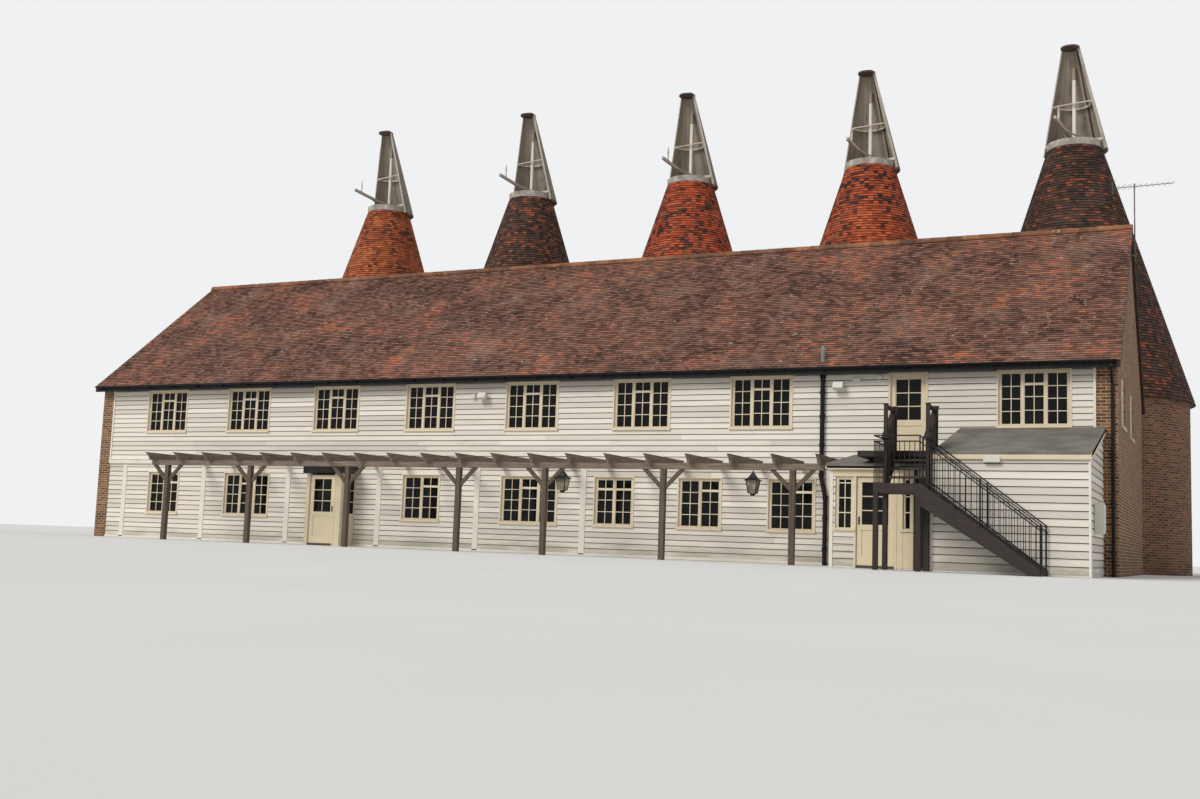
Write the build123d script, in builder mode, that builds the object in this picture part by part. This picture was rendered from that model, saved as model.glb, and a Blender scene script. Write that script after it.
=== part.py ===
"""An oast house: a long weatherboarded hop store with a tiled roof, and five round
brick kilns behind it under tiled cones and turning boarded cowls.

Millimetres, +Z up. The origin is on the ground below the middle of the ridge.
+X runs along the store to its right-hand gable, and -Y is the front, with the
stair, the two porches, the lean-to and the pergola."""

import os
from math import cos, hypot, radians

from build123d import *

# The store
store_length = 31000.0
store_depth = 9580.0
eaves_height = 4850.0
ridge_height = 9080.0
eaves_overhang = 315.0
verge_overhang = 80.0
roof_thickness = 140.0
timber_wall = 200.0
brick_wall = 330.0
corner_pier = 460.0
lower_wall_height = 2440.0
lower_wall_setback = 30.0
upper_floor_height = 2640.0
ground_slab = 150.0
door_step_recess = 60.0
ridge_tile_radius = 130.0
ridge_tile_sink = 60.0

# Windows and the upper door of the store, placed from its right-hand corner
upper_bay = 3300.0
first_upper_window = 1810.0
upper_window_bays = (0, 2, 3, 4, 5, 6, 7, 8)
upper_window_width = 1590.0
upper_window_sill = 3370.0
upper_window_head = 4690.0
lower_window_sill = 800.0
lower_window_head = 2090.0
lower_windows = (
    (7580.0, 1180.0, 2),
    (10020.0, 1150.0, 2),
    (12450.0, 1110.0, 2),
    (15010.0, 1720.0, 3),
    (18510.0, 1220.0, 2),
    (24850.0, 1700.0, 3),
    (28200.0, 1220.0, 2),
)
window_frame = 60.0
window_mullion = 70.0
window_reveal = 25.0
window_frame_depth = 90.0
sill_projection = 45.0
sill_height = 50.0
glass = 8.0
upper_door_place = 4705.0
upper_door_width = 850.0
upper_door_head = 4670.0

# Gable windows, placed from the front wall
gable_windows = ((1700.0, 1150.0), (4900.0, 1150.0))
gable_window_sill = 3450.0
gable_window_head = 4650.0

# Kilns
kiln_count = 5
kiln_pitch = 6750.0
kiln_row_shift = -100.0
kiln_radius = 3340.0
kiln_eaves_lift = 400.0
kiln_inset = 290.0
kiln_segments = 10
cone_top_radius = 842.4
cone_eaves_radius = 3480.0
cone_rise = 8400.0
cone_thickness = 250.0
cone_segments = 8
segment_joint = 4.0
valley_gap = 10.0
curb_height = 220.0
curb_thickness = 60.0

# Cowls, which turn on a post in the top of each kiln
cowl_skirt_lap = 30.0
cowl_height = 3480.0
cowl_base_radius = 1030.0
cowl_sides = 20
cowl_top_radius = 285.0
cowl_shell = 45.0
cowl_mouth = 120.0
cowl_lean = 380.0
cowl_facings = (-104.0, -103.0, -102.0, -101.0, -103.0)
cowl_cap_radius = 340.0
cowl_cap_thickness = 70.0
cowl_shelf_thickness = 55.0
cowl_shelf_height = 1560.0
cowl_post_radius = 65.0
footstep_drop = 1150.0
bearing_beam = 180.0
bearing_gap = 0.3
collar_gap = 6.0
arm_length = 1850.0
arm_rise = 330.0
arm_section = 90.0
arm_root_rise = 28.0
finial_height = 560.0

# The porch at the foot of the stair, placed from the right-hand corner
porch_left = 5900.0
porch_projection = 2400.0
porch_wall = 120.0
porch_eaves = 2330.0
porch_roof_top = 2710.0
porch_roof_thickness = 110.0
porch_roof_overhang = 100.0
porch_window = (5800.0, 5380.0)
porch_window_sill = 820.0
door_head = 2040.0
porch_door_edges = (5320.0, 4460.0)
porch_side_light = (4300.0, 4060.0)
side_light_sill = 830.0
store_door_edges = (3990.0, 3480.0)

# The front porch on the left
left_porch_edges = (22020.0, 20780.0)
left_porch_projection = 650.0
left_porch_height = 2080.0
left_porch_fascia = 230.0
left_porch_wall = 90.0
left_door_edges = (21900.0, 21030.0)

# Hinged doors
door_thickness = 44.0
door_gap = 6.0
door_floor_gap = 12.0
door_sill = 50.0
hinge_pin_radius = 8.0
hinge_pin_gap = 0.3
hinge_pin_height = 40.0
door_stile = 110.0
door_lock_rail = 900.0
door_pane_web = 8.0
door_panel_recess = 12.0

# The lean-to at the right-hand end
leanto_left = 3430.0
leanto_right = 330.0
leanto_projection = 3440.0
leanto_wall = 150.0
leanto_eaves = 2500.0
leanto_top = 3355.0
leanto_roof_thickness = 90.0
leanto_overhang = 70.0

# The outside stair
landing_left = 4450.0
landing_right = 3480.0
landing_front = 4450.0
landing_back = 3500.0
landing_height = 1790.0
landing_thickness = 190.0
platform_left = 5240.0
platform_height = 2600.0
platform_thickness = 130.0
stair_post = 100.0
lower_risers = 9
lower_going = 264.0
upper_risers = 4
upper_going = 270.0
tread_thickness = 40.0
stringer_depth = 260.0
stringer_thickness = 50.0
guard_height = 950.0
guard_post = 75.0
guard_board = 28.0
rail_bar = 26.0
rail_height = 1000.0
rail_drop = 120.0
baluster = 14.0
baluster_pitch = 110.0

# The pergola
pergola_posts = (6900.0, 10150.0, 13400.0, 15950.0, 19500.0, 22900.0, 26000.0)
pergola_reach = 2100.0
pergola_ends = (6150.0, 26600.0)
pergola_post_width = 130.0
pergola_beam_height = 2190.0
pergola_beam_depth = 140.0
pergola_beam_width = 110.0
rafter_pitch = 1050.0
rafter_depth = 210.0
rafter_width = 75.0
rafter_tail = 420.0
brace_reach = 430.0

# Rainwater goods
gutter_radius = 62.0
gutter_wall = 6.0
soil_pipe_place = 6800.0
soil_pipe_radius = 55.0
soil_pipe_top = 5400.0
soil_pipe_offset = 110.0
pipe_bracket = 25.0
pipe_brackets = (600.0, 2350.0, 3700.0, 4500.0)

# Places worked out from the driving dimensions
right = store_length / 2
front = -store_depth / 2
back = store_depth / 2
roof_reach = store_depth / 2 + eaves_overhang
roof_slope = (ridge_height - eaves_height) / roof_reach
roof_drop = roof_thickness * hypot(1.0, roof_slope)
upper_window_places = [first_upper_window + n * upper_bay for n in upper_window_bays]
kiln_y = back + kiln_radius - kiln_inset
kiln_places = [
    kiln_row_shift + (n - (kiln_count - 1) / 2) * kiln_pitch for n in range(kiln_count)
]
kiln_wall_height = eaves_height + kiln_eaves_lift
cone_top_height = kiln_wall_height + cone_rise
footstep_height = cone_top_height - footstep_drop
cowl_skirt_height = cone_top_height - cowl_skirt_lap
cowl_rail_height = cone_top_height + curb_height + 2 * collar_gap
arm_root_height = cowl_rail_height + arm_root_rise
porch_front = front - porch_projection
leanto_front = front - leanto_projection
left_porch_front = front - left_porch_projection
lower_flight_run = lower_risers * lower_going
upper_flight_run = (upper_risers - 1) * upper_going
platform_front = front - landing_back + upper_flight_run
soil_pipe_y = front - soil_pipe_radius - pipe_bracket
lower_rise = landing_height / lower_risers
upper_rise = (platform_height - landing_height) / upper_risers
porch_passage = (porch_door_edges[0], store_door_edges[0])

# Each hinged door: its name, the edges of its opening from the right-hand corner, the
# outer face of its wall, its sill, whether it is glazed, and which way it reaches
hinged_doors = (
    ("porch_door", porch_door_edges, porch_front, door_sill, True, -1),
    ("store_door", store_door_edges, porch_front, door_sill, False, 1),
    ("left_porch_door", left_door_edges, left_porch_front, door_sill, True, 1),
)

os.makedirs("parts", exist_ok=True)


def along(distance):
    """X of a place given by its distance from the store's right-hand corner."""
    return right - distance


def roof_underside(y):
    """Height of the underside of the store's roof at a depth y."""
    return ridge_height - roof_slope * abs(y) - roof_drop


def block(x_ends, y_ends, z_ends, mode=Mode.ADD):
    """A rectangular block between two values on each axis."""
    ends = (x_ends, y_ends, z_ends)
    middle = [(a + b) / 2 for a, b in ends]
    size = [abs(b - a) for a, b in ends]
    with Locations(tuple(middle)):
        Box(*size, mode=mode)


def cross_section(points, x_start, length, mode=Mode.ADD):
    """A section drawn in Y and Z, carried along X."""
    with BuildSketch(Plane.YZ.offset(x_start)) as section:
        with BuildLine():
            Polyline(*points, close=True)
        make_face()
    extrude(section.sketch, amount=length, mode=mode)


def elevation(points, y_start, depth, mode=Mode.ADD):
    """A shape drawn in X and Z, carried from y_start towards the rear."""
    with BuildSketch(Plane.XZ.offset(-y_start)) as shape:
        with BuildLine():
            Polyline(*points, close=True)
        make_face()
    extrude(shape.sketch, amount=-depth, mode=mode)


def save(piece, label):
    piece.label = label
    export_step(piece, f"parts/{label}.step")


def make_floors():
    inside_front = front + timber_wall
    inside_back = back - brick_wall
    inside_side = right - brick_wall
    with BuildPart() as ground_floor:
        block((-inside_side, inside_side), (inside_front, inside_back), (0, ground_slab))
        block(
            (along(left_door_edges[0]), along(left_door_edges[1])),
            (inside_front, inside_front + door_step_recess),
            (0, ground_slab),
            mode=Mode.SUBTRACT,
        )
    save(ground_floor.part, "ground_floor")
    with BuildPart() as upper_floor:
        block(
            (-inside_side, inside_side),
            (inside_front, inside_back),
            (lower_wall_height, upper_floor_height),
        )
        for side in (-1, 1):
            block(
                (side * inside_side, side * (right - corner_pier)),
                (inside_front, inside_front + timber_wall),
                (lower_wall_height, upper_floor_height),
            )
    save(upper_floor.part, "upper_floor")


def front_wall_outline(base):
    """Section of the upper front wall, cut to the slope of the roof."""
    return [
        (front, base),
        (front + timber_wall, base),
        (front + timber_wall, roof_underside(front + timber_wall)),
        (front, roof_underside(front)),
    ]


def window_hole(place, width, sill, head, y_ends):
    block((along(place) - width / 2, along(place) + width / 2), y_ends, (sill, head), mode=Mode.SUBTRACT)


def make_front_wall():
    wall_right = right - corner_pier
    through = (front - timber_wall, front + 2 * timber_wall)
    with BuildPart() as front_wall_upper:
        cross_section(front_wall_outline(lower_wall_height), -wall_right, 2 * wall_right)
        for place in upper_window_places:
            window_hole(place, upper_window_width, upper_window_sill, upper_window_head, through)
        window_hole(upper_door_place, upper_door_width, upper_floor_height, upper_door_head, through)
    save(front_wall_upper.part, "front_wall_upper")

    y_ends = (front + lower_wall_setback, front + timber_wall)
    stretches = (
        (store_length - corner_pier, left_door_edges[0]),
        (left_door_edges[1], porch_passage[0]),
        (porch_passage[1], corner_pier),
    )
    with BuildPart() as front_wall_lower:
        for start, stop in stretches:
            block((along(start), along(stop)), y_ends, (0, lower_wall_height))
        for place, width, _ in lower_windows:
            window_hole(place, width, lower_window_sill, lower_window_head, through)
    save(front_wall_lower.part, "front_wall_lower")
    lintel_top = porch_roof_height(porch_front) - porch_roof_thickness
    with BuildPart() as door_lintels:
        for start, stop in (left_door_edges, porch_passage):
            block((along(start), along(stop)), y_ends, (door_head, lower_wall_height))
        block(
            (along(porch_left), along(leanto_left)),
            (porch_front, porch_front + porch_wall),
            (door_head, lintel_top),
        )
    save(door_lintels.part, "door_lintels")


def make_rear_wall():
    inside_side = right - brick_wall
    inner = back - brick_wall
    section = [(back, 0), (inner, 0), (inner, roof_underside(inner)), (back, roof_underside(back))]
    with BuildPart() as rear_wall:
        cross_section(section, -inside_side, 2 * inside_side)
    save(rear_wall.part, "rear_wall")


def make_gable_walls():
    outline = [
        (front, 0),
        (back, 0),
        (back, roof_underside(back)),
        (0, roof_underside(0)),
        (front, roof_underside(front)),
    ]
    pier = brick_wall - corner_pier
    with BuildPart() as gable_walls:
        for side in (-1, 1):
            outer = side * right
            cross_section(outline, outer, -side * brick_wall)
            cross_section(front_wall_outline(0), outer - side * brick_wall, side * pier)
            for place, width in gable_windows:
                middle = front + place
                block(
                    (outer - side * 2 * brick_wall, outer + side * brick_wall),
                    (middle - width / 2, middle + width / 2),
                    (gable_window_sill, gable_window_head),
                    mode=Mode.SUBTRACT,
                )
    save(gable_walls.part, "gable_walls")


def roof_outline(side):
    """Section of one slope of the store's roof, cut plumb at the eaves."""
    return [
        (0, ridge_height),
        (side * roof_reach, eaves_height),
        (side * roof_reach, eaves_height - roof_drop),
        (0, ridge_height - roof_drop),
    ]


def make_roof():
    end = right + verge_overhang
    with BuildPart() as roof_front:
        cross_section(roof_outline(-1), -end, 2 * end)
        with Locations((along(soil_pipe_place), soil_pipe_y, eaves_height)):
            Cylinder(soil_pipe_radius, 4 * roof_drop, mode=Mode.SUBTRACT)
    save(roof_front.part, "roof_front")
    with BuildPart() as roof_rear:
        cross_section(roof_outline(1), -end, 2 * end)
        with BuildSketch():
            with Locations(*[(x, kiln_y) for x in kiln_places]):
                Circle(kiln_radius)
            with Locations((0, back - kiln_radius)):
                Rectangle(2 * store_length, 2 * kiln_radius, mode=Mode.SUBTRACT)
        extrude(amount=kiln_wall_height, mode=Mode.SUBTRACT)
    save(roof_rear.part, "roof_rear")
    slopes = [(0, ridge_height), (roof_reach, eaves_height), (-roof_reach, eaves_height)]
    with BuildPart() as ridge_tiles:
        with BuildSketch(Plane.YZ.offset(-end)):
            with Locations((0, ridge_height - ridge_tile_sink)):
                Circle(ridge_tile_radius)
            with BuildLine():
                Polyline(*slopes, close=True)
            make_face(mode=Mode.SUBTRACT)
        extrude(amount=2 * end)
    save(ridge_tiles.part, "ridge_tiles")


def casement(width, lights, base, head):
    """A window in its own frame: the ring, its mullions and the sill, centred on x = 0
    with its outer face at y = 0. The part being built receives it."""
    with BuildSketch(Plane.XZ) as ring:
        with Locations((0, (base + head) / 2)):
            Rectangle(width, head - base)
        for x_ends in light_ends(width, lights):
            with Locations((sum(x_ends) / 2, (base + head) / 2)):
                Rectangle(
                    x_ends[1] - x_ends[0], head - base - 2 * window_frame, mode=Mode.SUBTRACT
                )
    extrude(ring.sketch, amount=-window_frame_depth)
    block(
        (-width / 2 - sill_projection, width / 2 + sill_projection),
        (-sill_projection - window_reveal, -window_reveal),
        (base, base + sill_height),
    )
    block((-width / 2, width / 2), (-window_reveal, 0), (base, base + sill_height))


def light_ends(width, lights):
    """The two sides of each light of a window that is centred on x = 0."""
    clear = (width - 2 * window_frame - (lights - 1) * window_mullion) / lights
    first = -width / 2 + window_frame
    return [
        (first + n * (clear + window_mullion), first + n * (clear + window_mullion) + clear)
        for n in range(lights)
    ]


def panes(width, lights, base, head):
    """The glass of a window, one sheet to a light, centred on x = 0."""
    middle = window_frame_depth / 2
    for x_ends in light_ends(width, lights):
        block(x_ends, (middle, middle + glass), (base + window_frame, head - window_frame))


def window_set():
    """Every window: its placing plane, width, lights, sill and head, by storey."""
    face = front + window_reveal
    upper = [
        (Plane((along(place), face, 0)), upper_window_width, 3, upper_window_sill, upper_window_head)
        for place in upper_window_places
    ]
    for side in (-1, 1):
        for place, width in gable_windows:
            plane = Plane(
                (side * (right - window_reveal), front + place, 0), x_dir=(0, side, 0), z_dir=(0, 0, 1)
            )
            upper.append((plane, width, 2, gable_window_sill, gable_window_head))
    lower = [
        (
            Plane((along(place), face + lower_wall_setback, 0)),
            width,
            lights,
            lower_window_sill,
            lower_window_head,
        )
        for place, width, lights in lower_windows
    ]
    lower.append(
        (
            Plane((along(sum(porch_window) / 2), porch_front + window_reveal, 0)),
            porch_window[0] - porch_window[1],
            1,
            porch_window_sill,
            door_head,
        )
    )
    lower.append(
        (
            Plane((along(sum(porch_side_light) / 2), porch_front + window_reveal, 0)),
            porch_side_light[0] - porch_side_light[1],
            1,
            side_light_sill,
            door_head,
        )
    )
    return {"upper": upper, "lower": lower}


def make_windows():
    for storey, windows in window_set().items():
        frames = []
        sheets = []
        for plane, width, lights, base, head in windows:
            with BuildPart() as frame:
                casement(width, lights, base, head)
            frames.append(frame.part.moved(plane.location))
            with BuildPart() as sheet:
                panes(width, lights, base, head)
            sheets.append(sheet.part.moved(plane.location))
        save(Compound(children=frames), f"{storey}_window_frames")
        save(Compound(children=sheets), f"{storey}_window_glass")


def door_leaf(width, height, pane_rows, hinge_sign):
    """A panelled leaf with its hinge line at the origin, standing on z = 0. It reaches
    away from the hinge along hinge_sign, and its hinge edge is rounded to turn."""
    half = door_thickness / 2
    block((0, hinge_sign * width), (-half, half), (0, height))
    with Locations((0, 0, height / 2)):
        Cylinder(half, height)
    for face in (-1, 1):
        recess = (face * (door_pane_web / 2), face * 2 * half)
        side_ends = (hinge_sign * door_stile, hinge_sign * (width - door_stile))
        if pane_rows:
            block(side_ends, recess, (door_lock_rail, height - door_stile), mode=Mode.SUBTRACT)
        panel = (face * (half - door_panel_recess), face * 2 * half)
        panel_head = door_lock_rail - door_stile if pane_rows else height - door_stile
        block(side_ends, panel, (2 * door_stile, panel_head), mode=Mode.SUBTRACT)
    with Locations((0, 0, hinge_pin_height / 2)):
        Cylinder(hinge_pin_radius + hinge_pin_gap, hinge_pin_height, mode=Mode.SUBTRACT)


def make_hinged_doors():
    for label, edges, face, base, pane_rows, hinge_sign in hinged_doors:
        width = edges[0] - edges[1] - 2 * door_gap - door_thickness / 2
        with BuildPart() as leaf:
            door_leaf(width, door_head - base - 2 * door_floor_gap, pane_rows, hinge_sign)
        place = Location((hinge_x(edges, hinge_sign), face + door_thickness, base + door_floor_gap))
        save(leaf.part.moved(place), label)


def hinge_x(edges, hinge_sign):
    """X of a door's hinge line: the leaf reaches from it along hinge_sign."""
    jamb = along(edges[0]) if hinge_sign > 0 else along(edges[1])
    return jamb + hinge_sign * (door_thickness / 2 + door_gap)


def make_thresholds():
    """Sills of the hinged doors, each with the pin that its leaf turns on."""
    with BuildPart() as thresholds:
        for _, edges, face, base, _, hinge_sign in hinged_doors:
            block((along(edges[0]), along(edges[1])), (face, face + 2 * door_thickness), (0, base))
            pin_top = base + door_floor_gap + hinge_pin_height - hinge_pin_gap
            with Locations((hinge_x(edges, hinge_sign), face + door_thickness, pin_top / 2)):
                Cylinder(hinge_pin_radius, pin_top)
    save(thresholds.part, "thresholds")


def make_upper_door():
    face = front + window_reveal
    half = upper_door_width / 2
    with BuildPart() as upper_door:
        block(
            (along(upper_door_place) - half, along(upper_door_place) + half),
            (face, face + window_frame_depth),
            (upper_floor_height, upper_door_head),
        )
        clear = (along(upper_door_place) - half + door_stile, along(upper_door_place) + half - door_stile)
        inner = face + window_frame_depth
        for ends in ((face, face + 3 * door_panel_recess), (inner - 3 * door_panel_recess, inner)):
            block(
                clear,
                ends,
                (upper_floor_height + door_lock_rail, upper_door_head - door_stile),
                mode=Mode.SUBTRACT,
            )
        block(
            clear,
            (face, face + door_panel_recess),
            (upper_floor_height + 2 * door_stile, upper_floor_height + door_lock_rail - door_stile),
            mode=Mode.SUBTRACT,
        )
    save(upper_door.part, "upper_door")


def make_porch_walls():
    """Side and front walls of the porch below the stair and of the porch on the left."""
    left = along(porch_left)
    inner = porch_front + porch_wall
    under = [porch_roof_height(y) - porch_roof_thickness for y in (inner, front)]
    edges = [along(place) for place in left_porch_edges]
    left_inner = left_porch_front + left_porch_wall
    rear = front + lower_wall_setback
    with BuildPart() as porch_sides:
        cross_section(
            [
                (inner, 0),
                (inner, under[0]),
                (front, under[1]),
                (front, lower_wall_height),
                (rear, lower_wall_height),
                (rear, 0),
            ],
            left,
            porch_wall,
        )
        for edge, turn in zip(edges, (1, -1)):
            block((edge, edge + turn * left_porch_wall), (left_inner, rear), (0, left_porch_height))
    save(porch_sides.part, "porch_sides")
    through = (porch_front - porch_wall, porch_front + 2 * porch_wall)
    with BuildPart() as porch_fronts:
        for start, stop in (
            (porch_left, porch_door_edges[0]),
            (porch_door_edges[1], store_door_edges[0]),
            (store_door_edges[1], leanto_left),
        ):
            block((along(start), along(stop)), (porch_front, inner), (0, door_head))
        for ends, base in ((porch_window, porch_window_sill), (porch_side_light, side_light_sill)):
            block((along(ends[0]), along(ends[1])), through, (base, door_head), mode=Mode.SUBTRACT)
        for edge, jamb in zip(edges, left_door_edges):
            block((edge, along(jamb)), (left_porch_front, left_inner), (0, left_porch_height))
    save(porch_fronts.part, "porch_fronts")


def make_porch_roofs():
    left = along(porch_left)
    neighbour = along(leanto_left)
    roof_front_edge = porch_front - porch_roof_overhang
    with BuildPart() as porch_roof:
        cross_section(
            [
                (roof_front_edge, porch_roof_height(roof_front_edge)),
                (front, porch_roof_height(front)),
                (front, porch_roof_height(front) - porch_roof_thickness),
                (roof_front_edge, porch_roof_height(roof_front_edge) - porch_roof_thickness),
            ],
            left - porch_roof_overhang,
            neighbour - left + porch_roof_overhang,
        )
        block(
            (along(platform_left), neighbour),
            (platform_front, front),
            (platform_height - platform_thickness, ridge_height),
            mode=Mode.SUBTRACT,
        )
    save(porch_roof.part, "porch_roof")
    ends = [along(place) for place in left_porch_edges]
    with BuildPart() as left_porch_roof:
        block(
            (ends[0] - left_porch_wall, ends[1] + left_porch_wall),
            (left_porch_front - left_porch_wall, front + lower_wall_setback),
            (left_porch_height, left_porch_height + left_porch_fascia),
        )
    save(left_porch_roof.part, "left_porch_roof")


def porch_roof_height(y):
    """Height of the top of the porch roof at a depth y."""
    rise = (porch_roof_top - porch_eaves) / (porch_projection + porch_roof_overhang)
    return porch_roof_top - rise * (front - y)


def leanto_roof_height(y):
    """Height of the top of the lean-to roof at a depth y."""
    rise = (leanto_top - leanto_eaves) / (leanto_projection + leanto_overhang)
    return leanto_top - rise * (front - y)


def make_leanto():
    sides = (along(leanto_left), along(leanto_right))
    inner = leanto_front + leanto_wall
    under = [leanto_roof_height(y) - leanto_roof_thickness for y in (leanto_front, inner, front)]
    with BuildPart() as leanto_front_wall:
        cross_section(
            [(leanto_front, 0), (leanto_front, under[0]), (inner, under[1]), (inner, 0)],
            sides[0],
            sides[1] - sides[0],
        )
    save(leanto_front_wall.part, "leanto_front_wall")
    side_outline = [
        (inner, 0),
        (inner, under[1]),
        (front, under[2]),
        (front, lower_wall_height),
        (front + lower_wall_setback, lower_wall_height),
        (front + lower_wall_setback, 0),
    ]
    with BuildPart() as leanto_side_walls:
        cross_section(side_outline, sides[0], leanto_wall)
        cross_section(side_outline, sides[1] - leanto_wall, leanto_wall)
        block(
            (right - corner_pier, right), (front, back), (0, ridge_height), mode=Mode.SUBTRACT
        )
    save(leanto_side_walls.part, "leanto_side_walls")
    edge = leanto_front - leanto_overhang
    with BuildPart() as leanto_roof:
        cross_section(
            [
                (edge, leanto_roof_height(edge)),
                (front, leanto_roof_height(front)),
                (front, leanto_roof_height(front) - leanto_roof_thickness),
                (edge, leanto_roof_height(edge) - leanto_roof_thickness),
            ],
            sides[0] - leanto_overhang / 2,
            sides[1] - sides[0] + leanto_overhang / 2 + leanto_overhang,
        )
    save(leanto_roof.part, "leanto_roof")


def stair_frame():
    """X and Y ends of the landing, shared by the flights, posts and rails."""
    return (along(landing_left), along(landing_right)), (front - landing_front, front - landing_back)


def lower_string_outline():
    """The lower flight's stringer, in X and Z."""
    head = stair_frame()[0][1]
    foot = head + lower_flight_run
    return [
        (head, landing_height),
        (head, landing_height - stringer_depth - lower_rise),
        (foot - lower_going, 0),
        (foot, 0),
        (foot, lower_rise / 2),
    ]


def make_stair():
    x_ends, y_ends = stair_frame()
    with BuildPart() as stair_landings:
        block(x_ends, y_ends, (landing_height - landing_thickness, landing_height))
        block(
            (along(platform_left), along(landing_right)),
            (platform_front, front),
            (platform_height - platform_thickness, platform_height),
        )
    save(stair_landings.part, "stair_landings")

    half = stair_post / 2
    with BuildPart() as stair_posts:
        for x in (x_ends[0] + half, x_ends[1] - half):
            for y in (y_ends[0] + half, y_ends[1] - half):
                block((x - half, x + half), (y - half, y + half), (0, landing_height - landing_thickness))
    save(stair_posts.part, "stair_posts")

    with BuildPart() as stair_treads:
        for n in range(1, lower_risers):
            top = landing_height - n * lower_rise
            start = x_ends[1] + (n - 1) * lower_going
            block(
                (start, start + lower_going),
                (y_ends[0] + stringer_thickness, y_ends[1] - stringer_thickness),
                (top - tread_thickness, top),
            )
        for n in range(1, upper_risers):
            top = landing_height + n * upper_rise
            start = y_ends[1] + (n - 1) * upper_going
            block(
                (x_ends[0] + stringer_thickness, x_ends[1] - stringer_thickness),
                (start, start + upper_going),
                (top - tread_thickness, top),
            )
    save(stair_treads.part, "stair_treads")

    upper_string = [
        (y_ends[1], landing_height + upper_rise),
        (y_ends[1], landing_height - landing_thickness),
        (y_ends[1] + upper_going / 2, landing_height - landing_thickness),
        (platform_front, platform_height - platform_thickness - upper_rise),
        (platform_front, platform_height),
    ]
    with BuildPart() as stair_stringers:
        for y in (y_ends[0], y_ends[1] - stringer_thickness):
            elevation(lower_string_outline(), y, stringer_thickness)
        for x in (x_ends[0], x_ends[1] - stringer_thickness):
            cross_section(upper_string, x, stringer_thickness)
    save(stair_stringers.part, "stair_stringers")


def make_stair_guards():
    """The boarded guards beside the upper flight, each between two tall posts."""
    x_ends, y_ends = stair_frame()
    near = (y_ends[1] - guard_post, y_ends[1])
    far = (platform_front, platform_front + guard_post)
    top = platform_height + guard_height
    near_top = top - guard_board
    cap_foot = landing_height + rail_height
    with BuildPart() as stair_guards:
        for x in (x_ends[0], x_ends[1] - guard_post):
            sides = (x, x + guard_post)
            block(sides, near, (landing_height, near_top))
            block(sides, far, (platform_height, top))
            block(sides, (near[0], far[1]), (near_top - guard_post, near_top))
            cross_section(
                [
                    (near[1], landing_height + upper_rise),
                    (near[1], cap_foot),
                    (far[0], near_top),
                    (far[0], platform_height),
                ],
                x + (guard_post - guard_board) / 2,
                guard_board,
            )
    save(stair_guards.part, "stair_guards")


def make_stair_railings():
    """Iron rails: along the front and left of the landing, and down the lower flight."""
    x_ends, y_ends = stair_frame()
    head = x_ends[1]
    foot = head + lower_flight_run
    half = rail_bar / 2
    rail_y = (y_ends[0], y_ends[0] + rail_bar)
    rail_x = (x_ends[0], x_ends[0] + rail_bar)
    rear = y_ends[1] - guard_post
    bar_top = landing_height + rail_height - rail_drop - half
    with BuildPart() as stair_railings:
        for x in spaced(x_ends[0] + half, head - half, baluster_pitch):
            upright(x, y_ends[0] + half, landing_height, bar_top, baluster)
        for y in spaced(y_ends[0] + half, rear - half, baluster_pitch):
            upright(x_ends[0] + half, y, landing_height, bar_top, baluster)
        for x in spaced(head + baluster_pitch, foot - half, baluster_pitch):
            fall = landing_height * (x - head) / lower_flight_run
            upright(x, y_ends[0] + half, 0, bar_top - fall, baluster)
        upright(head - half, y_ends[0] + half, landing_height, landing_height + rail_height, rail_bar)
        upright(foot - half, y_ends[0] + half, 0, rail_height, rail_bar)
        for drop in (0, rail_drop):
            top = landing_height + rail_height - drop
            block((x_ends[0], head), rail_y, (top - rail_bar, top))
            block(rail_x, (y_ends[0], rear), (top - rail_bar, top))
            elevation(
                [
                    (head - rail_bar, top),
                    (head - rail_bar, top - rail_bar),
                    (foot, top - rail_bar - landing_height),
                    (foot, top - landing_height),
                ],
                y_ends[0],
                rail_bar,
            )
        elevation(lower_string_outline(), y_ends[0], stringer_thickness, mode=Mode.SUBTRACT)
        block(
            (head, foot + stringer_depth),
            (y_ends[0], y_ends[1]),
            (-stringer_depth, 0),
            mode=Mode.SUBTRACT,
        )
        under = [
            (head, -stringer_depth),
            (head, landing_height - stringer_depth - lower_rise),
            (foot - lower_going, 0),
            (foot, -stringer_depth),
        ]
        elevation(under, y_ends[0], stringer_thickness, mode=Mode.SUBTRACT)
    save(stair_railings.part, "stair_railings")


def upright(x, y, base, top, width):
    half = width / 2
    block((x - half, x + half), (y - half, y + half), (base, top))


def spaced(start, stop, pitch):
    """Even places from start to stop, no further apart than the pitch."""
    count = max(1, round((stop - start) / pitch))
    return [start + n * (stop - start) / count for n in range(count + 1)]


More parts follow.
